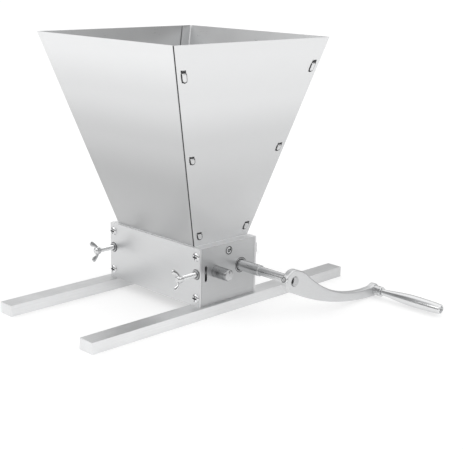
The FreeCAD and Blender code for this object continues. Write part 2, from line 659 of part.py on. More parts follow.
# Crank arm: a flat swan-necked plate between a round boss and a round eye.
handle_y = "(%s + crank_radius * sqrt(1 - %s * %s))" % (drive_axis, droop_sine, droop_sine)
handle_z = "(eye_diameter / 2 + crank_floor_gap)"
arm = doc.addObject("PartDesign::Body", "crank_arm_body")
web = sketch_on(arm, "YZ_Plane", "arm_web")
outline(web, [
    ("0.1 * boss_diameter", "0 - 0.45 * boss_diameter"),
    ("crank_radius * 0.04", "0 - boss_diameter * 0.535", "crank_radius * 2.22", False),
    ("crank_radius - 0.05 * eye_diameter", "0 - 0.495 * eye_diameter"),
    ("crank_radius - 0.3 * eye_diameter", "0.39 * eye_diameter", "crank_radius * 1.06", True),
    ("crank_radius * 0.14", "boss_diameter * 0.31"),
    ("0.17 * boss_diameter", "0.46 * boss_diameter"),
])
pad(arm, web, "arm_thickness")
boss = sketch_on(arm, "YZ_Plane", "arm_boss")
ring(boss, "0", "0", "boss_diameter / 2")
pad(arm, boss, "arm_thickness")
eye = sketch_on(arm, "YZ_Plane", "arm_eye")
ring(eye, "crank_radius", "0", "eye_diameter / 2")
pad(arm, eye, "arm_thickness")
holes = sketch_on(arm, "YZ_Plane", "arm_holes")
ring(holes, "0", "0", "rod_diameter / 2 + running_gap")
ring(holes, "crank_radius", "0", "spindle_diameter / 2")
pocket(arm, holes, reversed_cut=True)
clamp_seat = "(boss_diameter / 2 - clamp_head_length)"
for name, radius, start in (("clamp_tap", "clamp_thread / 2", "0"), ("clamp_sink", "clamp_head / 2", clamp_seat)):
    sketch = sketch_on(arm, "XZ_Plane", name)
    ring(sketch, "arm_thickness / 2", "0", radius)
    sketch.setExpression("AttachmentOffset.Base.z", link(start))
    pocket(arm, sketch, reversed_cut=True)
tilt(arm, "x", "-1 * asin(%s)" % droop_sine)
node(put(arm, crank_inner, drive_axis, axis_height), "crank_arm")

clamp_tip = "(rod_diameter / 2 - flat_depth)"
clamp = turned("crank_clamp_body", [
    ("0 - " + clamp_tip, "0"), ("0 - " + clamp_tip, "clamp_thread / 2"),
    ("0 - " + clamp_seat, "clamp_thread / 2"), ("0 - " + clamp_seat, "clamp_head / 2 - running_gap"),
    ("0 - boss_diameter / 2", "clamp_head / 2 - running_gap"), ("0 - boss_diameter / 2", "clamp_head / 4"),
    ("clamp_head_length / 2 - boss_diameter / 2", "clamp_head / 4"),
    ("clamp_head_length / 2 - boss_diameter / 2", "0"),
], along="y")
tilt(clamp, "x", "-1 * asin(%s)" % droop_sine)
node(put(clamp, "%s + arm_thickness / 2" % crank_inner, drive_axis, axis_height), "crank_clamp_screw")

# Handle: a fixed spindle with a collar, a grip that turns on it, and a screw that keeps the grip on.
collar_end = "(arm_thickness + collar_length)"
recess_floor = "(%s + end_gap + grip_length - end_recess)" % collar_end
spindle_end = "(%s + end_gap)" % recess_floor
head_end = "(%s + end_recess / 2)" % spindle_end
spindle = turned("spindle_body", [
    ("0", "0"), ("0", "spindle_diameter / 2"), ("arm_thickness", "spindle_diameter / 2"),
    ("arm_thickness", "collar_diameter / 2"), (collar_end, "collar_diameter / 2"),
    (collar_end, "spindle_diameter / 2"), (spindle_end, "spindle_diameter / 2"),
    (spindle_end, "spindle_diameter / 4"), (spindle_end + " - end_recess * 2", "spindle_diameter / 4"),
    (spindle_end + " - end_recess * 2", "0"),
])
node(put(spindle, crank_inner, handle_y, handle_z), "grip_spindle")
grip_rise = "(grip_belly / 2 - grip_neck / 2)"
grip_fall = "(grip_belly / 2 - grip_tip / 2)"
grip_rest = "(grip_length - grip_belly_at)"
grip = turned("grip_body", [
    ("0", "spindle_diameter / 2 + running_gap"),
    ("0", "grip_neck / 2", "(grip_belly_at ^ 2 + %s ^ 2) / (2 * %s)" % (grip_rise, grip_rise), True),
    ("grip_belly_at", "grip_belly / 2",
     "(%s ^ 2 + %s ^ 2) / (2 * %s)" % (grip_rest, grip_fall, grip_fall), True),
    ("grip_length", "grip_tip / 2"),
    ("grip_length", "end_head / 2 + end_gap"),
    ("grip_length - end_recess", "end_head / 2 + end_gap"),
    ("grip_length - end_recess", "spindle_diameter / 2 + running_gap"),
])
node(put(grip, "%s + %s + end_gap" % (crank_inner, collar_end), handle_y, handle_z), "crank_grip")
end_screw = turned("end_screw_body", [
    (spindle_end + " - end_recess * 1.5", "0"), (spindle_end + " - end_recess * 1.5", "spindle_diameter / 4"),
    (spindle_end, "spindle_diameter / 4"), (spindle_end, "end_head / 2"), (head_end, "end_head / 2"),
    (head_end, "0"),
])
screw_slot = sketch_on(end_screw, "YZ_Plane", "end_screw_slot")
outline(screw_slot, [
    ("0 - end_head", "0 - end_head / 14"), ("end_head", "0 - end_head / 14"),
    ("end_head", "end_head / 14"), ("0 - end_head", "end_head / 14"),
])
screw_slot.setExpression("AttachmentOffset.Base.z", link(head_end + " - end_recess / 5"))
pocket(end_screw, screw_slot, reversed_cut=True)
node(put(end_screw, crank_inner, handle_y, handle_z), "grip_end_screw")

# Wing screws: a threaded stud that clamps the slotted web on an eccentric bush, and its winged head.
stud_tip = "(%s - clamp_slot_width / 2 + tip_gap)" % slot_line
hub_start = "(body_width / 2 + wing_reach)"
stud_end = "(body_width / 2 + wing_reach + 0.8 * wing_hub_length)"
tip_along = "(wing_hub_length + wing_rake - wing_span / 8)"
tip_out = "(wing_span / 2 - wing_span / 8)"
for side, word in ((-1, "left"), (1, "right")):
    stud = turned("wing_stud_body_" + word, [
        ("0 - " + stud_tip, "0"), ("0 - " + stud_tip, "wing_thread / 2"),
        ("0 - " + stud_end, "wing_thread / 2"), ("0 - " + stud_end, "0"),
    ], along="y")
    node(put(stud, at(side, screw_line), "0", axis_height), "wing_stud_" + word)
    head = turned("wing_head_body_" + word, [
        ("0", "wing_thread / 2 + running_gap"), ("0", "wing_hub / 2"),
        ("0 - 0.85 * wing_hub_length", "wing_hub / 2"), ("0 - wing_hub_length", "wing_hub / 3"),
        ("0 - wing_hub_length", "0"), ("0 - 0.82 * wing_hub_length", "0"),
        ("0 - 0.82 * wing_hub_length", "wing_thread / 2 + running_gap"),
    ], along="y")
    for end, leaf in ((-1, "lower"), (1, "upper")):
        sketch = sketch_on(head, "YZ_Plane", "%s_leaf_%s" % (leaf, word))
        leaf_points = [
            ("0 - 0.1 * wing_hub_length", "0.4 * wing_hub"),
            ("(0 - %s + 0.09 * wing_span)" % tip_along, "(%s + 0.085 * wing_span)" % tip_out,
             "wing_span / 8", end < 0),
            ("(0 - %s - 0.09 * wing_span)" % tip_along, "(%s - 0.085 * wing_span)" % tip_out),
            ("0 - 0.9 * wing_hub_length", "0.36 * wing_hub"),
        ]
        outline(sketch, [(p[0], at(end, "(%s)" % p[1])) + tuple(p[2:]) for p in leaf_points])
        sketch.setExpression("AttachmentOffset.Base.z", link("0 - wing_thickness / 2"))
        pad(head, sketch, "wing_thickness")
    tilt(head, "y", "-1 * wing_tilt")
    node(put(head, at(side, screw_line), "0 - " + hub_start, axis_height), "wing_head_" + word)

doc.recompute()
faults = [item.Name for item in doc.Objects if "Invalid" in item.State or "Error" in item.State]
faults += [piece.Label for piece in nodes if piece.Shape.isNull() or not piece.Shape.isValid()]
if faults:
    raise RuntimeError("failed: " + ", ".join(faults))
os.makedirs("parts", exist_ok=True)
for piece in nodes:
    piece.Shape.exportStep("parts/%s.step" % piece.Label)
    print("%-22s solids %d  volume %.0f" % (piece.Label, len(piece.Shape.Solids), piece.Shape.Volume))
print(len(nodes), "nodes")
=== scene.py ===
import bmesh
import bpy
import math
import numpy as np
from mathutils import Matrix, Vector


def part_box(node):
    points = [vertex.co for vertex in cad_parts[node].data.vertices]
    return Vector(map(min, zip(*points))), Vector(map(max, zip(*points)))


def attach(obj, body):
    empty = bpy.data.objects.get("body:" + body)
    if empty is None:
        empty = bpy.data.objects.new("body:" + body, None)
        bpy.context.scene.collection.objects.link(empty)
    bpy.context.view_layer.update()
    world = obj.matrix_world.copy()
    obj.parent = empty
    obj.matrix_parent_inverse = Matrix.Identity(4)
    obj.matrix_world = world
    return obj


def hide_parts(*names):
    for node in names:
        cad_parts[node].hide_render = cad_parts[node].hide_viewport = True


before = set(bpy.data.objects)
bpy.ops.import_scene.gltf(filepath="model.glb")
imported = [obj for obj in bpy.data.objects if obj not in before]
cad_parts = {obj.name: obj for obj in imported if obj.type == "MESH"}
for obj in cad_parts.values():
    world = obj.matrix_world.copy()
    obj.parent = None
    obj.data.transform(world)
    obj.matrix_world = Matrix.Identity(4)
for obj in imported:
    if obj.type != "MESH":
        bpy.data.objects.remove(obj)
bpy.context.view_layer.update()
mm = 0.001
fullTurn = 2 * math.pi
alongX = np.array([[1, 0, 0], [0, 1, 0], [0, 0, 1]])  # rows: along the axis, then the two directions round it
alongY = np.array([[0, 1, 0], [0, 0, 1], [1, 0, 0]])
print("frame loaded:", len(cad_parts), "nodes")


def low(node):
    return np.array(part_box(node)[0])


def high(node):
    return np.array(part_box(node)[1])


def middle(node):
    return (low(node) + high(node)) / 2


# Steel of a given grey, a touch blue.
def steel(grey):
    return grey, grey + 0.005, grey + 0.01


metalLooks = {
    # slot, colour, lowest and highest roughness, grain in cycles per metre along each axis,
    # grain bump, cloudiness
    "hopperLong": ("hopper_sheet", steel(0.84), (0.30, 0.36), (90, 90, 1800), 0.012, 0.015),
    "hopperEnd": ("hopper_sheet", steel(0.84), (0.30, 0.36), (90, 90, 1800), 0.012, 0.015),
    # the inside look is the hopper sheet darkened, as painted shade for the panels' inward faces
    "hopperInside": ("hopper_sheet", steel(0.60), (0.26, 0.34), (90, 90, 1200), 0.02, 0.02),
    "sideSteel": ("side_plate", steel(0.68), (0.30, 0.42), (30, 900, 900), 0.04, 0.03),
    # plate steel, also laid on the drive shaft's end faces as painted shade
    "plateSteelAndShaftEndShade": ("end_plate", steel(0.525), (0.34, 0.46), (900, 30, 900), 0.12, 0.07),
    # the top look is a lighter steel, as painted light on upward faces and on the foot bead
    "plateTopPaintedLight": ("end_plate", steel(0.92), (0.55, 0.65), (300, 300, 300), 0.04, 0.03),
    "barMetal": ("foot_bar", steel(0.82), (0.32, 0.46), (900, 14, 900), 0.18, 0.08),
    "armSteel": ("crank_steel", steel(0.665), (0.36, 0.46), (500, 260, 900), 0.07, 0.05),
    "shaftSteel": ("shaft_steel", steel(0.66), (0.16, 0.28), (1600, 16, 16), 0.06, 0.05),
    "gripSteel": ("grip_steel", steel(0.76), (0.16, 0.26), (1500, 12, 12), 0.04, 0.04),
    # the knob's round side is a darker copy of its steel, as painted shade
    "knobSidePaintedShade": ("adjuster_steel", steel(0.36), (0.24, 0.34), (1600, 16, 16), 0.06, 0.05),
    "knobSteel": ("adjuster_steel", steel(0.56), (0.22, 0.32), (1600, 16, 16), 0.06, 0.05),
    "screwSteel": ("screw_steel", steel(0.74), (0.12, 0.24), (700, 700, 700), 0.03, 0.08),
    "wingChrome": ("wing_chrome", steel(0.68), (0.06, 0.16), (300, 300, 300), 0.04, 0.06),
    "rollerSteel": ("roller_steel", (0.50, 0.505, 0.52), (0.26, 0.44), (90, 700, 700), 0.12, 0.18),
    "guideSteel": ("feed_guide", steel(0.74), (0.26, 0.38), (30, 700, 700), 0.08, 0.06),
    "bushSteel": ("bush_steel", steel(0.46), (0.24, 0.40), (900, 60, 60), 0.08, 0.15),
    "washerBronze": ("washer_bronze", (0.66, 0.50, 0.27), (0.26, 0.42), (60, 500, 500), 0.08, 0.15),
    "badgeMetal": ("badge_metal", steel(0.66), (0.26, 0.38), (500, 500, 500), 0.05, 0.05),
}
paintedShades = {
    # painted shade, darker towards the hopper's foot and towards the bars' +Y ends: axis, then (metres along it,
    # factor on the colour)
    "hopperLong": ("Z", [(0.10, 0.58), (0.15, 0.55), (0.20, 0.665), (0.25, 0.82), (0.30, 0.95)]),
    "hopperEnd": ("Z", [(0.10, 0.74), (0.15, 0.685), (0.20, 0.73), (0.25, 0.865), (0.30, 0.91)]),
    "barMetal": ("Y", [(-0.20, 1.0), (0.0, 0.96), (0.10, 0.88), (0.20, 0.74)]),
}
paintLooks = {"darkMarksAndShade": ("badge_metal", (0.02, 0.02, 0.022))}  # slot, colour
materials = {}


def addNode(tree, kind, **values):
    node = tree.nodes.new("ShaderNode" + kind)
    for socket, value in values.items():
        node.inputs[socket.replace("_", " ")].default_value = value
    return node


# Stops of a colour ramp from (position, factor) pairs: the colour times each factor.
def setRamp(node, stops, colour=(1, 1, 1)):
    ramp = node.color_ramp.elements
    while len(ramp) < len(stops):
        ramp.new(0.5)
    for stop, (position, factor) in zip(ramp, stops):
        stop.position = position
        stop.color = [min(1, part * factor) for part in colour] + [1]


# A new material, kept under its name; gives its node tree, the tree's way to link sockets, and its shader.
def startMaterial(name):
    materials[name] = bpy.data.materials.new(name)
    materials[name].use_nodes = True
    tree = materials[name].node_tree
    return tree, tree.links.new, tree.nodes["Principled BSDF"]


# Painted shade: multiplies a colour by a factor that follows the place along an axis, from (metres, factor)
# pairs.
def paintShadeAlong(tree, place, colour, axis, shade):
    start, end = shade[0][0], shade[-1][0]
    split = addNode(tree, "SeparateXYZ")
    tree.links.new(place.outputs["Object"], split.inputs[0])
    share = addNode(tree, "MapRange", From_Min=start, From_Max=end)
    tree.links.new(split.outputs[axis], share.inputs["Value"])
    factor = tree.nodes.new("ShaderNodeValToRGB")
    factor.color_ramp.interpolation = "EASE"
    setRamp(factor, [((at - start) / (end - start), factorThere) for at, factorThere in shade])
    tree.links.new(share.outputs[0], factor.inputs[0])
    product = tree.nodes.new("ShaderNodeMix")
    product.data_type = "RGBA"
    product.blend_type = "MULTIPLY"
    product.inputs["Factor"].default_value = 1
    tree.links.new(colour, product.inputs[6])
    tree.links.new(factor.outputs[0], product.inputs[7])
    return product.outputs[2]


# Metal with drawn-out grain: stretched noise makes a fine bump, and its mean with a wide soft noise sets
# roughness and tint.
def makeMetal(name, colour, rough, grain, bumpStrength, cloud):
    tree, link, shader = startMaterial(name)
    shader.inputs["Metallic"].default_value = 1
    place = addNode(tree, "TexCoord")
    stretch = addNode(tree, "Mapping", Scale=grain)
    link(place.outputs["Object"], stretch.inputs["Vector"])
    grainNoise = addNode(tree, "TexNoise", Scale=1, Detail=5, Roughness=0.62)
    link(stretch.outputs[0], grainNoise.inputs["Vector"])
    cloudNoise = addNode(tree, "TexNoise", Scale=26, Detail=3, Roughness=0.55)
    link(place.outputs["Object"], cloudNoise.inputs["Vector"])
    total = addNode(tree, "Math")
    total.operation = "ADD"
    link(grainNoise.outputs[0], total.inputs[0])
    link(cloudNoise.outputs[0], total.inputs[1])
    mean = addNode(tree, "Math")
    mean.operation = "MULTIPLY"
    mean.inputs[1].default_value = 0.5
    link(total.outputs[0], mean.inputs[0])
    roughness = addNode(tree, "MapRange", From_Min=0.3, From_Max=0.7, To_Min=rough[0], To_Max=rough[1])
    link(mean.outputs[0], roughness.inputs["Value"])
    link(roughness.outputs[0], shader.inputs["Roughness"])
    tint = tree.nodes.new("ShaderNodeValToRGB")
    setRamp(tint, [(0.3, 1 - cloud), (0.7, 1 + cloud)], colour)
    link(mean.outputs[0], tint.inputs[0])
    tintAndPaintedShade = tint.outputs[0]
    # painted shade along an axis, for the looks that have one
    if name in paintedShades:
        tintAndPaintedShade = paintShadeAlong(tree, place, tintAndPaintedShade, *paintedShades[name])
    link(tintAndPaintedShade, shader.inputs["Base Color"])
    bump = addNode(tree, "Bump", Strength=bumpStrength, Distance=0.2 * mm)
    link(grainNoise.outputs[0], bump.inputs["Height"])
    link(bump.outputs[0], shader.inputs["Normal"])


# Dull dark paint, speckled finely, for printed marks, and as painted shade in recesses, gaps, seams and cuts.
def makePaint(name, colour):
    tree, link, shader = startMaterial(name)
    place = addNode(tree, "TexCoord")
    speckle = addNode(tree, "TexNoise", Scale=900, Detail=3)
    link(place.outputs["Object"], speckle.inputs["Vector"])
    tint = tree.nodes.new("ShaderNodeValToRGB")
    setRamp(tint, [(0, 0.7), (1, 1.3)], colour)
    link(speckle.outputs[0], tint.inputs[0])
    link(tint.outputs[0], shader.inputs["Base Color"])
    rough = addNode(tree, "MapRange", To_Min=0.45, To_Max=0.65)
    link(speckle.outputs[0], rough.inputs["Value"])
    link(rough.outputs[0], shader.inputs["Roughness"])


for name, look in metalLooks.items():
    makeMetal(name, *look[1:])
for name, look in paintLooks.items():
    makePaint(name, *look[1:])
print("materials made:", len(materials))


# Rows of points joined into quads: each row to the next, and round the row where around is true.
def gridMesh(points, around=True, startCap=False, endCap=False):
    rows, columns = points.shape[:2]
    row = np.arange(rows - 1)[:, None] * columns
    column = np.arange(columns if around else columns - 1)[None, :]
    following = (column + 1) % columns
    quads = np.stack([row + column, row + following, row + columns + following, row + columns + column], -1)
    faces = quads.reshape(-1, 4).tolist()
    if startCap:
        faces.append(list(range(columns)))
    if endCap:
        faces.append(list(range((rows - 1) * columns, rows * columns)))
    return points.reshape(-1, 3), faces


# A flat outline given a thickness.
def slabMesh(outline, lift):
    return gridMesh(np.stack([outline, outline + lift]), startCap=True, endCap=True)


# A profile of (along, radius) pairs carried round an axis:
# point = centre + along * axis + radius * (cos(angle) * side + sin(angle) * other side).
def turnedMesh(profile, centre, axes=alongX, segments=72):
    profile = np.asarray(profile, float)
    angle = np.linspace(0, fullTurn, segments, endpoint=False)
    circle = np.cos(angle)[:, None] * axes[1] + np.sin(angle)[:, None] * axes[2]
    points = np.asarray(centre) + profile[:, None, :1] * axes[0] + profile[:, None, 1:] * circle[None]
    return gridMesh(points)


# Each corner of an open line is cut back and joined by a quadratic curve:
# (1-t)^2 * start + 2t(1-t) * corner + t^2 * end.
def rounded(points, radius, steps=4):
    points = np.asarray(points, float)
    before, corner, after = points[:-2], points[1:-1], points[2:]
    inward, outward = before - corner, after - corner
    inLength = np.linalg.norm(inward, axis=1, keepdims=True)
    outLength = np.linalg.norm(outward, axis=1, keepdims=True)
    start = corner + inward / inLength * np.minimum(radius, inLength * 0.48)
    end = corner + outward / outLength * np.minimum(radius, outLength * 0.48)
    t = np.linspace(0, 1, steps + 1)[None, :, None]
    curve = (1 - t) ** 2 * start[:, None] + 2 * t * (1 - t) * corner[:, None] + t ** 2 * end[:, None]
    return np.vstack([points[:1], curve.reshape(-1, points.shape[1]), points[-1:]])


# A smooth line through a few (along, value) pairs, by cubic spans whose slopes come from their neighbours.
def smoothLine(pairs, count):
    x, y = np.asarray(pairs, float).T
    slope = np.gradient(y, x)
    at = np.linspace(x[0], x[-1], count)
    span = np.clip(np.searchsorted(x, at, side="right") - 1, 0, len(x) - 2)
    width = x[span + 1] - x[span]
    t = (at - x[span]) / width
    value = ((1 + 2 * t) * (1 - t) ** 2 * y[span] + t * (1 - t) ** 2 * width * slope[span]
             + t ** 2 * (3 - 2 * t) * y[span + 1] - t ** 2 * (1 - t) * width * slope[span + 1])
    return np.stack([at, value], 1)


# Joins (points, faces) parts in one object on its body. The nodes are the CAD nodes whose place it takes.
def makePiece(name, parts, look, body, nodes=(), crease=32):
    start = 0
    allFaces = []
    for points, faces in parts:
        allFaces += [[index + start for index in face] for face in faces]
        start += len(points)
    mesh = bpy.data.meshes.new(name)
    mesh.from_pydata(np.vstack([points for points, faces in parts]).tolist(), [], allFaces)
    edit = bmesh.new()
    edit.from_mesh(mesh)
    bmesh.ops.remove_doubles(edit, verts=edit.verts, dist=1e-6)
    bmesh.ops.dissolve_degenerate(edit, edges=edit.edges, dist=1e-7)
    bmesh.ops.recalc_face_normals(edit, faces=edit.faces)
    edit.to_mesh(mesh)
    edit.free()
    return finishPiece(name, mesh, look, body, nodes, crease)


# Shades a mesh, gives it its material and hangs it on its body, hiding the CAD nodes that it stands for.
def finishPiece(name, mesh, look, body, nodes, crease):
    piece = bpy.data.objects.new(name, mesh)
    bpy.context.scene.collection.objects.link(piece)
    mesh.materials.clear()
    mesh.materials.append(materials[look])
    mesh.shade_smooth()
    mesh.set_sharp_from_angle(angle=math.radians(crease))
    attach(piece, body)
    if nodes:
        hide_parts(*nodes)
    return piece


def evenShading(piece):
    weighted = piece.modifiers.new("evenShading", "WEIGHTED_NORMAL")
    weighted.keep_sharp = True


# A piece in the place of one CAD node, under the node's name with hyphens.
def standIn(node, parts, look, body, crease=32):
    piece = makePiece(node.replace("_", "-"), parts, look, body, [node], crease)
    evenShading(piece)
    return piece


# Gives the faces that choose(normals, centres) picks a second material.
def coatFaces(piece, look, choose):
    mesh = piece.data
    mesh.materials.append(materials[look])
    normal, centre = np.empty((2, len(mesh.polygons) * 3), np.float32)
    mesh.polygons.foreach_get("normal", normal)
    mesh.polygons.foreach_get("center", centre)
    chosen = choose(normal.reshape(-1, 3), centre.reshape(-1, 3))
    mesh.polygons.foreach_set("material_index", chosen.astype(np.int32))


def facesInward(normal, centre):
    return (normal[:, :2] * centre[:, :2]).sum(1) < -1e-3 * np.abs(normal[:, :2]).sum(1)


def facesUp(normal, centre):
    return normal[:, 2] > 0.9


def facesAlongX(normal, centre):
    return np.abs(normal[:, 0]) > 0.9


def meshPoints(mesh):
    points = np.empty(len(mesh.vertices) * 3, np.float32)
    mesh.vertices.foreach_get("co", points)
    return points.reshape(-1, 3)


# A copy of a CAD node with its edges eased, so that they catch the light. A gap draws its sides and foot in.
def easedCopy(node, width, look, body, segments=3, gap=0):
    name = node.replace("_", "-")
    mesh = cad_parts[node].data.copy()
    mesh.name = name
    if gap:
        points = np.clip(meshPoints(mesh), low(node) + [0, gap, gap * 0.4], high(node) - [0, gap, 0])
        mesh.vertices.foreach_set("co", points.ravel().astype(np.float32))
    edit = bmesh.new()
    edit.from_mesh(mesh)
    bmesh.ops.remove_doubles(edit, verts=edit.verts, dist=1e-6)
    bmesh.ops.dissolve_limit(edit, angle_limit=math.radians(0.4), verts=edit.verts, edges=edit.edges)
    edit.to_mesh(mesh)
    edit.free()
    piece = finishPiece(name, mesh, look, body, [node], 32)
    bevel = piece.modifiers.new("easedEdges", "BEVEL")
    bevel.width = width
    bevel.segments = segments
    bevel.limit_method = "ANGLE"
    bevel.angle_limit = math.radians(35)
    bevel.use_clamp_overlap = True
    evenShading(piece)
    return piece


plateEdges = {
    # finish, width of the eased edge in millimetres
    "foot_bar_left": ("barMetal", 0.5), "foot_bar_right": ("barMetal", 0.5),
    "end_plate_left": ("plateSteelAndShaftEndShade", 0.35), "end_plate_right": ("plateSteelAndShaftEndShade", 0.35),
    "side_plate_front": ("sideSteel", 0.3), "side_plate_back": ("sideSteel", 0.3),
    "feed_guide_front": ("guideSteel", 0.25), "feed_guide_back": ("guideSteel", 0.25),
    "drive_bush_left": ("bushSteel", 0.3), "drive_bush_right": ("bushSteel", 0.3),
    "thread_inserts": ("bushSteel", 0.25),
}
plateGap = 0.3 * mm  # the end plates stand this far from the side plates and bars
for node, (look, width) in plateEdges.items():
    piece = easedCopy(node, width * mm, look, "root", gap=plateGap if look == "plateSteelAndShaftEndShade" else 0)
    # plate and side steel take the lighter top look on upward faces, as painted light
    if look in ("plateSteelAndShaftEndShade", "sideSteel"):
        coatFaces(piece, "plateTopPaintedLight", facesUp)
print("plates and bars eased")

panHead = {"radius": 5.3 * mm, "dome": 2.6 * mm, "domePower": 3.2, "edgeDrop": 0.12,
           "crossHalfLength": 3.2 * mm, "crossHalfWidth": 0.9 * mm, "crossDepth": 1.9 * mm,
           "crossWall": 0.22 * mm, "recessShadeFrom": 0.25 * mm, "recessShadeTo": 1.0 * mm,
           "shankRadius": 2.45 * mm, "shankLength": 15 * mm}


# Round screw head seen from outside, less a plus-shaped recess with sloping walls:
# height = dome * (1 - (r / radius)^power)^0.5 * (1 - drop * (r / radius)^2).
def panHeadMesh(centre, outward):
    head = panHead
    # rows are even over the crown and close up towards the edge
    share = np.concatenate([np.linspace(0, 0.8, 22), np.sin(np.linspace(0.93, fullTurn / 4, 9))])[:, None]
    angle = np.linspace(0, fullTurn, 64, endpoint=False)
    x = share * head["radius"] * np.cos(angle)
    z = share * head["radius"] * np.sin(angle)
    height = head["dome"] * np.sqrt(np.clip(1 - share ** head["domePower"], 0, 1))
    height = height * (1 - head["edgeDrop"] * share ** 2)

    def recess(along, across):
        inLength = np.clip((head["crossHalfLength"] - np.abs(along)) / head["crossWall"], 0, 1)
        inWidth = np.clip((head["crossHalfWidth"] - np.abs(across)) / head["crossWall"], 0, 1)
        return inLength * inWidth

    height = height - head["crossDepth"] * np.maximum(recess(x, z), recess(z, x))
    points = np.stack([x, height * outward, z], -1)
    back = np.stack([np.cos(angle), 0 * angle, np.sin(angle)], -1) * head["shankRadius"]
    deep = back - [0, head["shankLength"] * outward, 0]
    closing = np.repeat(deep.mean(0)[None], len(angle), 0)
    return gridMesh(np.concatenate([points, back[None], deep[None], closing[None]]) + centre)


# Painted shade: a dark plus-shaped filling low in a head's recess.
def recessShadeMesh(centre, outward):
    a, b = panHead["crossHalfLength"] - 0.1 * mm, panHead["crossHalfWidth"] - 0.05 * mm
    corners = np.array([(b, b), (b, a), (-b, a), (-b, b), (-a, b), (-a, -b),
                        (-b, -b), (-b, -a), (b, -a), (b, -b), (a, -b), (a, b)])
    flat = np.stack([corners[:, 0], 0 * corners[:, 0], corners[:, 1]], -1)
    lift = outward * (panHead["recessShadeTo"] - panHead["recessShadeFrom"])
    return slabMesh(flat + [0, outward * panHead["recessShadeFrom"], 0] + centre, [0, lift, 0])


screwX = middle("wing_stud_right")[0]
screwHeights = [low("side_screws_front")[2] + panHead["radius"],
                high("side_screws_front")[2] - panHead["radius"]]
for face, word, edge in ((-1, "front", low), (1, "back", high)):
    plateFace = edge("side_plate_" + word)[1]
    places = [np.array([side * screwX, plateFace, height]) for side in (-1, 1) for height in screwHeights]
    standIn("side_screws_" + word, [panHeadMesh(place, face) for place in places], "screwSteel", "root", 28)
    # dark crosses of painted shade low in the head recesses
    makePiece("screw-recess-shade-" + word, [recessShadeMesh(place, face) for place in places], "darkMarksAndShade", "root")
print("side screws made")

badge = {"discShare": 0.9, "discEdge": 0.12 * mm, "ringInner": 0.72, "ringOuter": 0.95, "arrowRadius": 0.30,
         "arrowWidth": 0.26, "arrowStart": 100, "arrowTurn": 250, "headWidth": 1.5, "headLength": 1.7,
         "proud": 0.06 * mm}


# Flat mark on a face square to an axis: a band between two radii round part of a circle, a little raised.
def bandMesh(centre, inner, outer, startAngle, endAngle, thickness, axes=alongX, steps=64):
    closed = abs(endAngle - startAngle) >= 360
    angle = np.radians(np.linspace(startAngle, endAngle, steps, endpoint=not closed))
    circle = np.cos(angle)[:, None] * axes[1] + np.sin(angle)[:, None] * axes[2]
    lift = thickness * axes[0]
    ring = np.stack([circle * inner, circle * outer, circle * outer + lift, circle * inner + lift], 1)
    if closed:
        ring = np.concatenate([ring, ring[:1]])
    return gridMesh(ring + centre, startCap=not closed, endCap=not closed)


# Round badge with a ring and a turning arrow on its face.
def badgePieces():
    lowest, highest = low("turn_badge"), high("turn_badge")
    centre = (lowest + highest) / 2
    centre[0] = lowest[0]
    radius = (highest[1] - lowest[1]) / 2
    depth = (highest[0] - lowest[0]) * badge["discShare"]
    disc = rounded([(0, 0), (0, radius), (depth, radius), (depth, 0)], badge["discEdge"])
    standIn("turn_badge", [turnedMesh(disc, centre)], "badgeMetal", "root")
    face = centre + [depth, 0, 0]
    proud = badge["proud"]
    ring = bandMesh(face, badge["ringInner"] * radius, badge["ringOuter"] * radius, 0, 360, proud)
    inner = (badge["arrowRadius"] - badge["arrowWidth"] / 2) * radius
    outer = (badge["arrowRadius"] + badge["arrowWidth"] / 2) * radius
    end = badge["arrowStart"] + badge["arrowTurn"]
    sweep = bandMesh(face, inner, outer, badge["arrowStart"], end, proud)
    tip = math.radians(end)
    outwardWay = np.array([0, math.cos(tip), math.sin(tip)])
    forward = np.array([0, -math.sin(tip), math.cos(tip)])
    root = face + outwardWay * badge["arrowRadius"] * radius
    wide = badge["arrowWidth"] * radius * badge["headWidth"]
    corners = root + wide * np.array([-outwardWay, outwardWay, forward * badge["headLength"]])
    makePiece("turn-mark", [ring, sweep, slabMesh(corners, [proud, 0, 0])], "darkMarksAndShade", "root")


badgePieces()

# radii of the dark rings of painted shade in the gaps round the drive shaft, the bushes (from their edge) and the
# threaded inserts
ringGapShade = {"shaft": (6.55 * mm, 7.3 * mm), "bushEdge": (-0.1 * mm, 0.5 * mm),
            "insertBore": (3.05 * mm, 3.9 * mm), "insertFlange": (5.5 * mm, 6.1 * mm), "proud": 0.05 * mm}


# Dark rings of painted shade where one round part passes through another.
def ringShadePieces():
    proud = ringGapShade["proud"]
    axis = middle("drive_roller")[1:]
    rings = [bandMesh([high("drive_bush_right")[0], *axis], *ringGapShade["shaft"], 0, 360, proud)]
    for side, word, edge in ((-1, "left", low), (1, "right", high)):
        bush = "drive_bush_" + word
        bushRadius = (high(bush)[2] - low(bush)[2]) / 2
        inner, outer = (bushRadius + beyond for beyond in ringGapShade["bushEdge"])
        rings.append(bandMesh([edge("end_plate_" + word)[0], *axis], inner, outer, 0, 360, side * proud))
    makePiece("bush-gap-shade", rings, "darkMarksAndShade", "root")
    height = middle("thread_inserts")[2]
    faces = {"insertBore": low("thread_inserts")[1], "insertFlange": low("side_plate_front")[1]}
    rings = [bandMesh(np.array([side * screwX, face, height]), *ringGapShade[key], 0, 360, -proud, alongY)
             for side in (-1, 1) for key, face in faces.items()]
    makePiece("insert-gap-shade", rings, "darkMarksAndShade", "root")


ringShadePieces()
print("badge and ring gaps made")

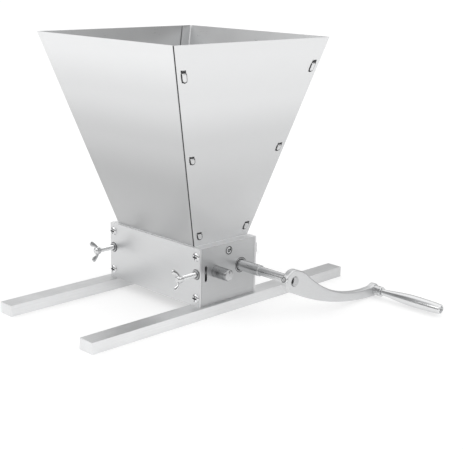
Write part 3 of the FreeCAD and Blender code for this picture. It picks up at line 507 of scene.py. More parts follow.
# wave: its height, then radians over half the width and per metre up; bead: outward and up, in millimetres
hopper = {"sheet": 1.2 * mm, "bend": 1.3 * mm, "flange": 14.0 * mm, "seam": 0.8 * mm,
          "wave": 0.10 * mm, "waveAcross": 5.1, "waveUp": 31,
          "hookThickness": 1.1 * mm, "hookProud": 1.1 * mm, "hookInset": 9.0 * mm, "hookWidth": 5.6 * mm,
          "hookGap": 1.4 * mm, "hookSlot": 0.26, "gapWidth": 1.95 * mm, "gapInset": 0.25 * mm,
          "weldWidth": 4.7 * mm, "weldInset": 0.05 * mm, "stripProud": 0.03 * mm, "stripEnd": 0.4 * mm,
          "beadSection": [(-0.4, 0.02), (0.7, 0.02), (0.7, 0.3), (-0.4, 0.5)]}
rimHeight = high("hopper_panel_right")[2]
boxTop = high("end_plate_right")[2]
skirtLow = low("hopper_panel_right")[2]
mouthX, mouthY = high("hopper_panel_right")[:2]
panelPoints = meshPoints(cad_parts["hopper_panel_right"].data)
footX, footY = panelPoints[panelPoints[:, 2] < boxTop - 1 * mm].max(0)[:2]


# Half-width of the hopper's outside at a height: foot + (mouth - foot) * share of the rise, and foot below
# the box top.
def outsideHalf(height, foot, mouth):
    share = np.clip((height - boxTop) / (rimHeight - boxTop), 0, 1)
    return foot + (mouth - foot) * share


# Long panel: at each height an open U of sheet, its main face square to Y, its flanges turned back at the ends.
# The main face swells a little: wave * sin(a * across) * sin(b * height), nothing at the corners.
def longPanelParts(face):
    kink = boxTop + np.array([-1.6, -0.5, 0.5, 1.6]) * mm  # rows close up where the skirt bends out
    heights = np.concatenate([[skirtLow], kink, np.linspace(boxTop, rimHeight, 40)[2:]])
    sheet = hopper["sheet"]
    halfX = outsideHalf(heights, footX, mouthX) - sheet - hopper["seam"]
    halfY = outsideHalf(heights, footY, mouthY)
    flange = np.where(heights < boxTop, hopper["bend"] * 2.2, hopper["flange"] + sheet / 2)
    bend = hopper["bend"] + sheet
    turn = np.linspace(0, fullTurn / 4, 7)
    across = np.linspace(-1, 1, 25)[None, 1:-1]
    rise = (heights - boxTop)[:, None]
    wave = hopper["wave"] * np.sin(across * hopper["waveAcross"]) * np.sin(rise * hopper["waveUp"])

    def layer(inset):
        radius = bend - inset
        x = (halfX - inset)[:, None]
        y = (halfY - inset)[:, None]
        cornerX = x - radius
        rightX = np.concatenate([cornerX + radius * np.sin(turn), x], 1)
        rightY = np.concatenate([y - radius + radius * np.cos(turn), (halfY - flange)[:, None]], 1)
        xs = np.concatenate([-rightX[:, ::-1], cornerX * across, rightX], 1)
        ys = np.concatenate([rightY[:, ::-1], y + wave * (1 - across ** 4), rightY], 1)
        return np.stack([xs, ys * face, heights[:, None] + 0 * xs], -1)

    outer, inner = layer(0), layer(sheet)
    ends = [gridMesh(np.stack([outer[row], inner[row]]), around=False) for row in (0, -1)]
    return [gridMesh(np.concatenate([outer, inner[:, ::-1]], 1))] + ends


# the inward faces of the panels take the darker inside look, as painted shade
for face, word in ((-1, "front"), (1, "back")):
    panel = standIn("hopper_panel_" + word, longPanelParts(face), "hopperLong", "hopper", 40)
    coatFaces(panel, "hopperInside", facesInward)
for word in ("left", "right"):
    panel = easedCopy("hopper_panel_" + word, 0.22 * mm, "hopperEnd", "hopper", 2)
    coatFaces(panel, "hopperInside", facesInward)


# Strip up a corner, level with the long panel's face: an oblong section that follows the corner.
def cornerStripMesh(side, face, inset, width):
    heights = np.linspace(boxTop + hopper["stripEnd"], rimHeight - hopper["stripEnd"], 12)
    x = outsideHalf(heights, footX, mouthX) - inset
    y = outsideHalf(heights, footY, mouthY) + hopper["stripProud"]
    section = width * np.array([(0, 0), (-1, 0), (-1, -1), (0, -1)])
    points = np.stack([x[:, None] + section[:, 0], y[:, None] + section[:, 1],
                       heights[:, None] + 0 * section[:, 0]], -1)
    return gridMesh(points * [side, face, 1], startCap=True, endCap=True)


# Seam bead round the hopper's foot in the lighter top look, as painted light: a section carried round the four
# corners.
def footBeadMesh():
    corners = np.array([(1, 1), (-1, 1), (-1, -1), (1, -1), (1, 1)])
    section = np.array(hopper["beadSection"]) * mm
    flat = corners[:, None] * (np.array([footX, footY]) + section[None, :, :1])
    return gridMesh(np.concatenate([flat, boxTop + section[None, :, 1:] + 0 * flat[..., :1]], -1))


makePiece("foot-bead", [footBeadMesh()], "plateTopPaintedLight", "hopper")
# Two opposite corners show an open seam as a dark strip of painted shade; the other two are closed level.
for name, turn, look, kind in (("corner-gap-shade", -1, "darkMarksAndShade", "gap"),
                               ("corner-welds", 1, "hopperLong", "weld")):
    strips = [cornerStripMesh(side, side * turn, hopper[kind + "Inset"], hopper[kind + "Width"])
              for side in (-1, 1)]
    makePiece(name, strips, look, "hopper")


# Where a hook sits at a height on the end panel's middle line, the way out of the panel, and the way up it.
def hookPlace(height):
    lean = np.array([mouthX - footX, 0, rimHeight - boxTop])
    lean = lean / np.linalg.norm(lean)
    return np.array([outsideHalf(height, footX, mouthX), 0, height]), np.array([lean[2], 0, -lean[0]]), lean


# Moves points from the end panel's middle line to near the corner on the given side and face.
def atCorner(points, side, face):
    points[..., 1] += outsideHalf(points[..., 2], footY, mouthY) - hopper["hookInset"]
    return gridMesh(points * [side, face, 1], startCap=True, endCap=True)


# A cosine or sine drawn towards 1, for an oblong section with rounded corners: sign * |wave|^power.
def squared(wave, power):
    return np.sign(wave) * np.abs(wave) ** power


# Hook: a strip of sheet that leaves the slot's upper end, bends down and lies on the panel, with a round tip.
# Its section is a rounded oblong of half-width w(s), which ends as w = width * sqrt(1 - u^2).
def hookMesh(side, face, height, length):
    surface, outwardWay, lean = hookPlace(height)
    thickness = hopper["hookThickness"]
    centre = surface + outwardWay * (hopper["hookProud"] - thickness / 2)
    top = length * (0.5 - hopper["hookSlot"])
    route = rounded([(-3.2 * mm, top), (0.0, top), (0.0, -length * 0.5)], 1.3 * mm, 8)
    route = np.concatenate([route[:-1], np.linspace(route[-2], route[-1], 18)[1:]])
    way = np.gradient(route, axis=0)
    way = way / np.linalg.norm(way, axis=1, keepdims=True)
    normal = np.stack([way[:, 1], -way[:, 0]], 1)
    tipRadius = hopper["hookWidth"] / 2
    tip = np.clip(1 - (route[:, 1] - route[-1, 1]) / tipRadius, 0, 1)
    halfWidth = tipRadius * np.sqrt(np.clip(1 - tip ** 2, 0, 1))
    angle = np.linspace(0, fullTurn, 20, endpoint=False)
    thick = squared(np.sin(angle), 0.5) * thickness / 2 * np.minimum(1, halfWidth / thickness * 1.4)[:, None]
    flat = route[:, None] + normal[:, None] * thick[..., None]
    wide = (halfWidth[:, None] * squared(np.cos(angle), 0.35))[..., None] * [0, 1, 0]
    return atCorner(centre + flat[..., :1] * outwardWay + flat[..., 1:] * lean + wide, side, face)


# Painted shade for the cut round a hook, level with the panel: a U round its lower end and the slot that it
# leaves by.
def hookCutShadeMeshes(side, face, height, length):
    centre, outwardWay, lean = hookPlace(height)
    inner = hopper["hookWidth"] / 2
    bend = np.linspace(-fullTurn / 2, 0, 25)
    lower, upper = -length / 2 + inner, length * (0.5 - hopper["hookSlot"])
    circle = np.stack([np.cos(bend), np.sin(bend)], -1)
    cup = [np.concatenate([[(-radius, upper)], radius * circle + [0, lower], [(radius, upper)]])
           for radius in (inner, inner + hopper["hookGap"])]
    half = inner * 0.9
    slot = [[(-half, upper), (half, upper)], [(-half, length / 2), (half, length / 2)]]
    meshes = []
    for flat in (np.array(cup), np.array(slot)):
        surface = centre + flat[..., :1] * [0, 1, 0] + flat[..., 1:] * lean
        under, over = surface - 0.05 * mm * outwardWay, surface + 0.05 * mm * outwardWay
        meshes.append(atCorner(np.stack([under[0], under[1], over[1], over[0]], 1), side, face))
    return meshes


topHook = {"drop": 32 * mm, "length": 12 * mm}
lowHook = {"rise": 12.5 * mm, "length": 8 * mm}
topHeight = rimHeight - topHook["drop"]
lowHeight = boxTop + lowHook["rise"]
hookRows = [(topHeight, topHook["length"]), ((topHeight + lowHeight) / 2, lowHook["length"]),
            (lowHeight, lowHook["length"])]
for face, word in ((-1, "front"), (1, "back")):
    parts = [hookMesh(side, face, height, length) for side in (-1, 1) for height, length in hookRows]
    makePiece("hopper-hooks-" + word, parts, "hopperEnd", "hopper", [], 50)
    # dark cuts round the hooks, as painted shade
    cuts = [mesh for side in (-1, 1) for height, length in hookRows
            for mesh in hookCutShadeMeshes(side, face, height, length)]
    makePiece("hook-cut-shade-" + word, cuts, "darkMarksAndShade", "hopper")
print("hopper made")

flutes = {"count": 48, "samples": 8, "depth": 0.9 * mm, "sharpness": 1.25, "chamfer": 1.0 * mm,
          "bore": 8.0 * mm}


# Fluted roller: radius = outer - depth * (1 - sharpness * |wave|), where wave runs -1 to 1 over each flute.
def rollerMesh(node):
    lowest, highest = low(node), high(node)
    half = (highest[0] - lowest[0]) / 2
    outer = (highest[2] - lowest[2]) / 2
    angle = np.linspace(0, fullTurn, flutes["count"] * flutes["samples"], endpoint=False)
    wave = np.abs(2 * ((angle * flutes["count"] / fullTurn) % 1) - 1)
    surface = outer - flutes["depth"] * np.clip(1 - wave * flutes["sharpness"], 0, 1)
    bore, chamfer = flutes["bore"], flutes["chamfer"]
    rows = [(-half, bore), (-half, surface - chamfer), (-half + chamfer, surface), (half - chamfer, surface),
            (half, surface - chamfer), (half, bore), (-half, bore)]
    rings = [np.stack([along + 0 * angle, radius * np.cos(angle), radius * np.sin(angle)], -1)
             for along, radius in rows]
    return gridMesh(np.array(rings) + (lowest + highest) / 2)


for node, body in (("drive_roller", "drive"), ("idler_roller", "idler")):
    standIn(node, [rollerMesh(node)], "rollerSteel", body, 24)
for node, body, look, width in (("idler_shaft", "idler", "shaftSteel", 0.4),
                                ("drive_washers", "drive", "washerBronze", 0.25),
                                ("idler_washers", "idler", "washerBronze", 0.25),
                                ("foot_screws", "root", "screwSteel", 0.2)):
    easedCopy(node, width * mm, look, body, 2)

shaft = {"sleeveRadius": 6.5 * mm, "rodRadius": 5.25 * mm, "journalRadius": 6.0 * mm, "coreRadius": 8.0 * mm,
         "sleeveReach": 32 * mm, "flatDepth": 2.0 * mm, "flatLength": 11 * mm, "edge": 0.45 * mm}


# Unit direction from the drive axis to the handle.
def armWay():
    way = middle("crank_grip") - middle("drive_roller")
    way[0] = 0
    return way / np.linalg.norm(way)


# Drive shaft: a stepped round bar whose outer end has a flat, made by holding one side's distance down.
def driveShaftMesh():
    start, end = low("drive_shaft")[0], high("drive_shaft")[0]
    axis = middle("drive_roller")
    rollerEnd = high("drive_roller")[0]
    sleeveEnd = high("end_plate_right")[0] + shaft["sleeveReach"]
    flatStart = end - shaft["flatLength"]
    journal, core, sleeve, rod = (shaft[key + "Radius"] for key in ("journal", "core", "sleeve", "rod"))
    profile = rounded([(start, 0), (start, journal), (-rollerEnd, journal), (-rollerEnd, core),
                       (rollerEnd, core), (rollerEnd, sleeve), (sleeveEnd, sleeve), (sleeveEnd, rod),
                       (flatStart, rod), (flatStart + 0.02 * mm, rod), (end, rod), (end, 0)], shaft["edge"], 3)
    points, faces = turnedMesh(profile, (0, 0, 0), segments=96)
    distance = points @ -armWay()
    limit = rod - shaft["flatDepth"]
    onFlat = (points[:, 0] > flatStart + 0.01 * mm) & (distance > limit)
    points = points + np.where(onFlat, distance - limit, 0)[:, None] * armWay()
    return points + [0, axis[1], axis[2]], faces


# faces square to the shaft's axis take the darker plate steel, as painted shade on its ends and steps
coatFaces(standIn("drive_shaft", [driveShaftMesh()], "shaftSteel", "drive"), "plateSteelAndShaftEndShade", facesAlongX)

knob = {"radius": 6.75 * mm, "chamfer": 1.2 * mm, "discRadius": 9.9 * mm, "discDepth": 8.6 * mm,
        "edge": 0.35 * mm, "markHalfWidth": 0.45 * mm, "markLength": 3.2 * mm, "markSunk": 0.01 * mm,
        "markThickness": 0.05 * mm}


# Adjuster: eccentric disc and knob as one turned profile, with a dark index mark across the knob's end.
def adjusterPieces(side, word):
    node = "adjuster_" + word
    centre = middle(node)
    inner, outer = (edge(node)[0] for edge in ((low, high) if side > 0 else (high, low)))
    length, radius, chamfer = abs(outer - inner), knob["radius"], knob["chamfer"]
    disc, depth = knob["discRadius"], knob["discDepth"]
    profile = rounded([(0, 0), (0, disc), (depth, disc), (depth, radius), (length - chamfer, radius),
                       (length, radius - chamfer), (length, 0)], knob["edge"], 3)
    profile[:, 0] = inner + side * profile[:, 0]
    body = standIn(node, [turnedMesh(profile, [0, centre[1], centre[2]])], "knobSidePaintedShade", node, 30)
    # the round side keeps the darker look as painted shade; faces square to the axis take the lighter steel
    coatFaces(body, "knobSteel", facesAlongX)
    half, top, foot = knob["markHalfWidth"], radius - chamfer, radius - chamfer - knob["markLength"]
    face = outer - side * knob["markSunk"]
    outline = np.array([(face, -half, foot), (face, half, foot), (face, half, top), (face, -half, top)])
    mark = slabMesh(outline + [0, centre[1], centre[2]], [side * knob["markThickness"], 0, 0])
    makePiece("index-mark-" + word, [mark], "darkMarksAndShade", node)


for side, word in ((-1, "left"), (1, "right")):
    adjusterPieces(side, word)
print("rollers and shafts made")

# outline points are in millimetres from the boss, along the arm and up
arm = {"bossRadius": 13.5 * mm, "eyeRadius": 8.0 * mm, "boreRadius": 5.32 * mm, "edge": 1.7 * mm,
       "boreChamfer": 0.7 * mm, "crownAlong": 4.0, "brow": (13.6, 11.5), "shoulder": (22, 8.2),
       "neck": (85, -6.5), "wrist": (148, 3.9), "heel": (153, -8.0), "belly": (70, -19.4), "chin": (6.5, -14.2),
       "chinEasing": 0.35, "smoothings": 3}


# Points on the arc through three points, from the first to the last.
def arcThrough(first, via, last, count):
    a, b, c = (complex(*point) for point in (first, via, last))
    w = (c - a) / (b - a)
    centre = a - (a - b) * (w - abs(w) ** 2) / (2j * w.imag)
    sweep = np.angle((c - centre) / (a - centre))
    middleSweep = np.angle((b - centre) / (a - centre))
    if abs(middleSweep) > abs(sweep) or middleSweep * sweep < 0:
        sweep -= math.copysign(fullTurn, sweep)
    point = centre + (a - centre) * np.exp(1j * np.linspace(0, sweep, count))
    return np.stack([point.real, point.imag], -1)


# Points on a circle about a centre on the arm's middle line.
def circlePoints(radius, angle, along=0):
    return np.stack([along + radius * np.cos(angle), radius * np.sin(angle)], -1)


# The same closed line with its points spread evenly along it.
def evenSteps(line, count):
    closed = np.concatenate([line, line[:1]])
    length = np.concatenate([[0], np.cumsum(np.linalg.norm(np.diff(closed, axis=0), axis=1))])
    at = np.linspace(0, length[-1], count, endpoint=False)
    return np.stack([np.interp(at, length, closed[:, axis]) for axis in (0, 1)], -1)


# Outline of the arm in its own plane, along it and up: full lower edge, eye, hollow upper edge, brow, boss.
def armOutline():
    reach = np.linalg.norm((middle("crank_grip") - middle("drive_roller"))[1:]) / mm
    boss, eye = arm["bossRadius"] / mm, arm["eyeRadius"] / mm
    heel, wrist, chin = arm["heel"], arm["wrist"], arm["chin"]
    crown = (arm["crownAlong"], math.sqrt(boss ** 2 - arm["crownAlong"] ** 2))
    lower = arcThrough(chin, arm["belly"], heel, 40)
    upper = arcThrough(wrist, arm["neck"], arm["shoulder"], 40)
    tipAngle = np.linspace(math.atan2(heel[1], heel[0] - reach),
                           math.atan2(wrist[1], wrist[0] - reach), 22)[1:-1]
    brow = arcThrough(arm["shoulder"], arm["brow"], crown, 10)[1:-1]
    bossAngle = np.linspace(math.atan2(crown[1], crown[0]),
                            math.atan2(chin[1], chin[0]) + fullTurn - arm["chinEasing"], 40)
    tip, back = circlePoints(eye, tipAngle, reach), circlePoints(boss, bossAngle)
    outline = evenSteps(np.concatenate([lower, tip, upper, brow, back]), 260) * mm
    for smoothing in range(arm["smoothings"]):
        outline = (np.roll(outline, 1, 0) + 2 * outline + np.roll(outline, -1, 0)) / 4
    return outline


# Arm plate: the outline moved in and out by a quarter-round at both faces; faces are filled round the bore.
def crankArm():
    lowest, highest = low("crank_arm"), high("crank_arm")
    outline = armOutline()
    tangent = np.roll(outline, -1, 0) - np.roll(outline, 1, 0)
    tangent = tangent / np.linalg.norm(tangent, axis=1, keepdims=True)
    inward = np.stack([-tangent[:, 1], tangent[:, 0]], -1)
    edge, thick = arm["edge"], highest[0] - lowest[0]
    quarter = np.linspace(0, fullTurn / 4, 6)
    inset = edge * np.concatenate([1 - np.sin(quarter), 1 - np.cos(quarter)])
    level = np.concatenate([edge * (1 - np.cos(quarter)), thick - edge * (1 - np.sin(quarter))])
    ways = np.stack([(0, *armWay()[1:]), (0, -armWay()[2], armWay()[1])])
    origin = np.array([lowest[0], *middle("drive_roller")[1:]])

    def lift(flat, depth):
        raised = depth[:, None, None] * np.array([1, 0, 0])
        return origin + flat[..., :1] * ways[0] + flat[..., 1:] * ways[1] + raised

    rim = lift(outline[None] + inset[:, None, None] * inward[None], level)
    chamfer, bore = arm["boreChamfer"], arm["boreRadius"]
    circle = circlePoints(1, np.linspace(0, fullTurn, 64, endpoint=False))
    hole = lift(np.array([bore + chamfer, bore, bore, bore + chamfer])[:, None, None] * circle[None],
                np.array([0, chamfer, thick - chamfer, thick]))
    edit = bmesh.new()
    for grid in (rim, hole):
        points, faces = gridMesh(grid)
        made = [edit.verts.new(point) for point in points.tolist()]
        for face in faces:
            edit.faces.new([made[index] for index in face])
    openEdges = [item for item in edit.edges if len(item.link_faces) == 1]
    for depth in (lowest[0], highest[0]):
        loop = [item for item in openEdges if all(abs(point.co.x - depth) < 1e-5 for point in item.verts)]
        bmesh.ops.triangle_fill(edit, use_beauty=True, edges=loop)
    bmesh.ops.recalc_face_normals(edit, faces=edit.faces)
    mesh = bpy.data.meshes.new("crank-arm")
    edit.to_mesh(mesh)
    edit.free()
    evenShading(finishPiece("crank-arm", mesh, "armSteel", "drive", ["crank_arm"], 40))


crankArm()

clampScrew = {"radius": 3.7 * mm, "length": 3.5 * mm, "proud": 0.9 * mm, "edge": 0.35 * mm,
              "socketRadius": 2.0 * mm, "socketDepth": 1.6 * mm, "threadRadius": 2.5 * mm, "threadLength": 5 * mm}


# Turned head with a six-sided socket, whose rows use radius / cos of the angle from each flat's middle.
def socketScrewMesh():
    radius, socket, thread = (clampScrew[key] for key in ("radius", "socketRadius", "threadRadius"))
    angle = np.linspace(0, fullTurn, 72, endpoint=False)
    hexagon = math.cos(fullTurn / 12) / np.cos((angle % (fullTurn / 6)) - fullTurn / 12)
    top, edge = arm["bossRadius"] + clampScrew["proud"], clampScrew["edge"]
    seat, floor = top - clampScrew["length"], top - clampScrew["socketDepth"]
    end = seat - clampScrew["threadLength"]
    rows = [(end, 0, 1), (end, thread, 1), (seat, thread, 1), (seat, radius, 1), (top, radius, 1),
            (top + edge, radius - edge, 1), (top + edge, socket * 1.12, hexagon),
            (top + 0.2 * mm, socket, hexagon), (floor, socket * 0.97, hexagon), (floor - 0.5 * mm, 0, 1)]
    out, up = -armWay(), np.array([1, 0, 0])
    circle = np.cos(angle)[:, None] * up + np.sin(angle)[:, None] * np.cross(out, up)
    centre = np.array([middle("crank_arm")[0], *middle("drive_roller")[1:]])
    grid = [centre + along * out + (spread * shape * np.ones_like(angle))[:, None] * circle
            for along, spread, shape in rows]
    return gridMesh(np.array(grid))


standIn("crank_clamp_screw", [socketScrewMesh()], "screwSteel", "drive", 28)

# in millimetres; the shape is (distance from the collar, radius), the groove's place is a share of the collar
handle = {
    "shape": [(0, 3.8), (6, 4.0), (12, 4.5), (19.5, 5.3), (29, 6.15), (38, 6.7), (48, 6.9), (60, 6.75),
              (72, 6.4), (82.3, 5.7)],
    "endRound": 1.3, "recessRadius": 3.95, "recessDepth": 2.6, "bore": 3.05, "spindleRadius": 3.0,
    "collarRadius": 6.0, "collarGap": 0.4, "groovePlace": (0.62, 0.74), "grooveDepth": 0.7,
    "screwRadius": 3.8, "screwDome": 2.0, "screwShank": 1.5, "slotHalfWidth": 0.55, "slotDepth": 0.8,
    "slotWall": 0.2,
}


# Grip: the smooth profile through the radii above, rounded over at its end, with a recess for the screw.
def gripMesh():
    lowest, highest = low("crank_grip"), high("crank_grip")
    length = (highest[0] - lowest[0]) / mm
    shape = smoothLine(handle["shape"], 60)
    recess, depth, bore = handle["recessRadius"], handle["recessDepth"], handle["bore"]
    shoulder = rounded([shape[-2], (length, shape[-1, 1] - 0.1), (length, recess + 0.5)],
                       handle["endRound"], 8)
    lip = rounded([(length, recess + 0.5), (length, recess), (length - depth, recess), (length - depth, bore),
                   (0, bore), (0, shape[0, 1] - 0.4), shape[0]], 0.25, 4)
    profile = np.concatenate([shape[:-1], shoulder[1:-1], lip]) * mm
    return turnedMesh(profile, [lowest[0], *middle("crank_grip")[1:]], segments=96)


standIn("crank_grip", [gripMesh()], "gripSteel", "grip", 30)


# Spindle with its collar: a turned bar with a groove near the collar's outer end.
def spindleMesh():
    start, end = low("grip_spindle")[0], high("grip_spindle")[0]
    armFace = high("crank_arm")[0]
    collarEnd = low("crank_grip")[0] - handle["collarGap"] * mm
    thin, wide, groove = (handle[key] * mm for key in ("spindleRadius", "collarRadius", "grooveDepth"))
    near, far = (armFace + share * (collarEnd - armFace) for share in handle["groovePlace"])
    profile = rounded([(start, 0), (start, thin), (armFace, thin), (armFace, wide), (near, wide),
                       (near, wide - groove), (far, wide - groove), (far, wide), (collarEnd, wide),
                       (collarEnd, thin), (end, thin), (end, 0)], 0.35 * mm, 3)
    return turnedMesh(profile, (0, *middle("crank_grip")[1:]), segments=96)


standIn("grip_spindle", [spindleMesh()], "shaftSteel", "drive", 30)


# Slotted screw head: a dome as height = top * (1 - share^4)^0.5, less a slot square to the way (0.6, 0.8).
def endScrewMesh():
    lowest, highest = low("grip_end_screw"), high("grip_end_screw")
    axis = middle("crank_grip")
    dome = handle["screwDome"] * mm
    seat = highest[0] - dome
    share = np.concatenate([np.linspace(0, 0.85, 20), np.sin(np.linspace(1.02, fullTurn / 4, 8))])[:, None]
    angle = np.linspace(0, fullTurn, 72, endpoint=False)
    y = share * np.cos(angle) * handle["screwRadius"] * mm
    z = share * np.sin(angle) * handle["screwRadius"] * mm
    height = dome * np.sqrt(np.clip(1 - share ** 4, 0, 1))
    across = np.abs(y * 0.6 + z * 0.8) / mm
    slot = np.clip((handle["slotHalfWidth"] - across) / handle["slotWall"], 0, 1) * handle["slotDepth"] * mm
    points = np.stack([seat + np.maximum(height - slot, 0.1 * mm * (height > 0)), y, z], -1)
    shank = handle["screwShank"] * mm
    back = np.stack([0 * angle + seat, shank * np.cos(angle), shank * np.sin(angle)], -1)
    deep = back * [0, 1, 1] + [lowest[0], 0, 0]
    end = np.repeat(deep.mean(0)[None], len(angle), 0)
    return gridMesh(np.concatenate([points, back[None], deep[None], end[None]]) + [0, axis[1], axis[2]])


standIn("grip_end_screw", [endScrewMesh()], "screwSteel", "drive", 28)
print("crank and handle made")

# in millimetres; the hub is (distance outward, radius), widths and thicknesses go by share of the length
wing = {"pitch": 1.0, "threadDepth": 0.55, "outerRadius": 2.95, "endTaper": 1.2, "endThinner": 0.35,
        "hub": [(0, 3.02), (0, 3.6), (1.2, 4.5), (5.6, 4.5), (7.5, 2.6), (7.5, 0), (6.2, 0), (6.2, 3.02),
                (0, 3.02)],
        "tilt": 12, "leaf": [(2.6, 3.6), (6.6, 5.6), (10.9, 12.6)], "leafBend": 4.0, "tipRound": 2.9,
        "halfWidths": [(0, 2.5), (0.3, 2.1), (0.6, 2.6), (0.82, 3.0), (1.0, 2.9)],
        "halfThickness": [(0, 1.7), (0.4, 1.15), (1.0, 0.95)]}


# Threaded stud: radius = outer - depth * (a sharp wave of along / pitch - angle / full turn), plain at its ends.
def studMesh(node):
    lowest, highest = low(node), high(node)
    axis = middle(node)
    length = (highest[1] - lowest[1]) / mm
    along = np.arange(0, length, wing["pitch"] / 8)[:, None]
    angle = np.linspace(0, fullTurn, 28, endpoint=False)
    phase = (along / wing["pitch"] - angle / fullTurn) % 1
    groove = np.clip(np.abs(phase - 0.5) * 2.6 - 0.3, 0, 1)
    fade = np.clip(np.minimum(along, length - along) / wing["endTaper"], 0, 1)
    radius = wing["outerRadius"] - wing["threadDepth"] * groove * fade - wing["endThinner"] * (1 - fade)
    points = np.stack([radius * np.sin(angle), along + 0 * radius, radius * np.cos(angle)], -1) * mm
    return gridMesh(points + [axis[0], lowest[1], axis[2]], startCap=True, endCap=True)


# Wing: an oval section carried from the hub's side out to the tip along a bent line; the tip is a half round.
def leafMesh(centre, end, tilt):
    t = np.linspace(0, 1, 40)
    line = rounded(wing["leaf"], wing["leafBend"], 20)
    length = np.concatenate([[0], np.cumsum(np.linalg.norm(np.diff(line, axis=0), axis=1))])
    place = np.stack([np.interp(t * length[-1], length, line[:, axis]) for axis in (0, 1)], -1)
    way = np.gradient(place, axis=0)
    way = way / np.linalg.norm(way, axis=1, keepdims=True)
    normal = np.stack([-way[:, 1], way[:, 0]], 1)
    tipLength = wing["tipRound"] / length[-1]
    tip = np.clip((t - (1 - tipLength)) / tipLength, 0, 1)
    wide = smoothLine(wing["halfWidths"], 40)[:, 1] * np.sqrt(np.clip(1 - tip ** 2.2, 0, 1))
    thick = np.interp(t, *np.array(wing["halfThickness"]).T) * np.sqrt(np.clip(1 - tip ** 5, 0, 1))
    angle = np.linspace(0, fullTurn, 24, endpoint=False)
    flat = place[:, None] + normal[:, None] * (wide[:, None] * np.cos(angle))[..., None]
    points = np.stack([thick[:, None] * np.sin(angle), -flat[..., 1], flat[..., 0] * end], -1)
    turn = np.array([[math.cos(tilt), 0, math.sin(tilt)], [0, 1, 0], [-math.sin(tilt), 0, math.cos(tilt)]])
    return gridMesh(points @ turn.T * mm + centre, startCap=True, endCap=True)


for word in ("left", "right"):
    stud, head = "wing_stud_" + word, "wing_head_" + word
    standIn(stud, [studMesh(stud)], "screwSteel", stud, 60)
    axis = middle(stud)
    centre = np.array([axis[0], high(head)[1], axis[2]])
    hub = rounded(wing["hub"], 0.8, 6) * [-mm, mm]
    leaves = [leafMesh(centre, end, -math.radians(wing["tilt"])) for end in (-1, 1)]
    standIn(head, [turnedMesh(hub, centre, alongY, 64)] + leaves, "wingChrome", head, 50)
print("wing screws made")

room = {
    "floorHalf": 60.0, "floorDrop": 0.2 * mm, "floorShade": 0.48, "floorGlow": 0.55,
    # sky brightness by the sine of the height above the horizon
    "sky": [(0.0, 0.14), (0.12, 0.20), (0.30, 0.50), (0.55, 1.0), (0.75, 1.15), (1.0, 1.2)],
    # name, place, aim, size, power
    "lights": [("keyLight", (-1.4, -2.4, 2.6), (0, 0, 0.15), 1.6, 16),
               ("fillLight", (2.6, 0.9, 1.9), (0, 0, 0.1), 1.4, 8)],
}


# Floor that glows a little, so that it stays pale round the object.
def buildFloor():
    mesh = bpy.data.meshes.new("floor")
    half = room["floorHalf"]
    corners = [(-half, -half, 0), (half, -half, 0), (half, half, 0), (-half, half, 0)]
    mesh.from_pydata(corners, [], [(0, 1, 2, 3)])
    floor = bpy.data.objects.new("floor", mesh)
    bpy.context.scene.collection.objects.link(floor)
    floor.location.z = -room["floorDrop"]
    shader = startMaterial("paleFloor")[2]
    shader.inputs["Base Color"].default_value = (room["floorShade"],) * 3 + (1,)
    shader.inputs["Roughness"].default_value = 0.7
    shader.inputs["Emission Color"].default_value = (1, 1, 1, 1)
    shader.inputs["Emission Strength"].default_value = room["floorGlow"]
    mesh.materials.append(materials["paleFloor"])


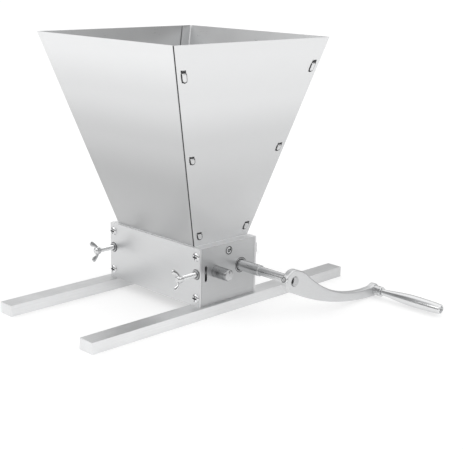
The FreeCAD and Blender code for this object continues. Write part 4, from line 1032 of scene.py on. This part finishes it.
# Sky that lights the object, bright overhead; the view itself meets an even white behind the object.
def buildSky():
    world = bpy.data.worlds.new("studio")
    bpy.context.scene.world = world
    world.use_nodes = True
    tree = world.node_tree
    link = tree.links.new
    skyLight = tree.nodes["Background"]
    way = addNode(tree, "TexCoord")
    split = addNode(tree, "SeparateXYZ")
    ramp = tree.nodes.new("ShaderNodeValToRGB")
    brightest = max(shade for height, shade in room["sky"])
    setRamp(ramp, [(height, shade / brightest) for height, shade in room["sky"]])
    skyLight.inputs["Strength"].default_value = brightest
    link(way.outputs["Generated"], split.inputs[0])
    link(split.outputs["Z"], ramp.inputs[0])
    link(ramp.outputs[0], skyLight.inputs["Color"])
    backdrop = addNode(tree, "Background", Color=(1, 1, 1, 1), Strength=1)
    rays = addNode(tree, "LightPath")
    chosen = addNode(tree, "MixShader")
    link(rays.outputs["Is Camera Ray"], chosen.inputs[0])
    link(skyLight.outputs[0], chosen.inputs[1])
    link(backdrop.outputs[0], chosen.inputs[2])
    link(chosen.outputs[0], tree.nodes["World Output"].inputs["Surface"])


def buildLights():
    for name, place, aim, size, power in room["lights"]:
        data = bpy.data.lights.new(name, "AREA")
        data.size, data.energy = size, power
        lamp = bpy.data.objects.new(name, data)
        lamp.location = place
        lamp.rotation_euler = (Vector(aim) - Vector(place)).to_track_quat("-Z", "Y").to_euler()
        bpy.context.scene.collection.objects.link(lamp)


buildFloor()
buildSky()
buildLights()

# metres, degrees and millimetres of lens
cameraView = {"place": (0.8496, -0.7636, 0.3891), "azimuth": 45.09, "elevation": 14.841, "roll": 1.116,
              "lens": 76.98}


def buildCamera():
    azimuth, elevation, roll = (math.radians(cameraView[key]) for key in ("azimuth", "elevation", "roll"))
    back = Vector((math.sin(azimuth) * math.cos(elevation), -math.cos(azimuth) * math.cos(elevation),
                   math.sin(elevation)))
    levelRight = Vector((math.cos(azimuth), math.sin(azimuth), 0))
    levelUp = back.cross(levelRight)
    right = levelRight * math.cos(roll) + levelUp * math.sin(roll)
    up = levelUp * math.cos(roll) - levelRight * math.sin(roll)
    data = bpy.data.cameras.new("camera")
    data.lens = cameraView["lens"]
    data.sensor_width = 36
    camera = bpy.data.objects.new("camera", data)
    bpy.context.scene.collection.objects.link(camera)
    turn = Matrix((right, up, back)).transposed().to_4x4()
    camera.matrix_world = Matrix.Translation(cameraView["place"]) @ turn
    bpy.context.scene.camera = camera


buildCamera()
bpy.context.scene.view_settings.view_transform = "Standard"
print("room, light and camera set")
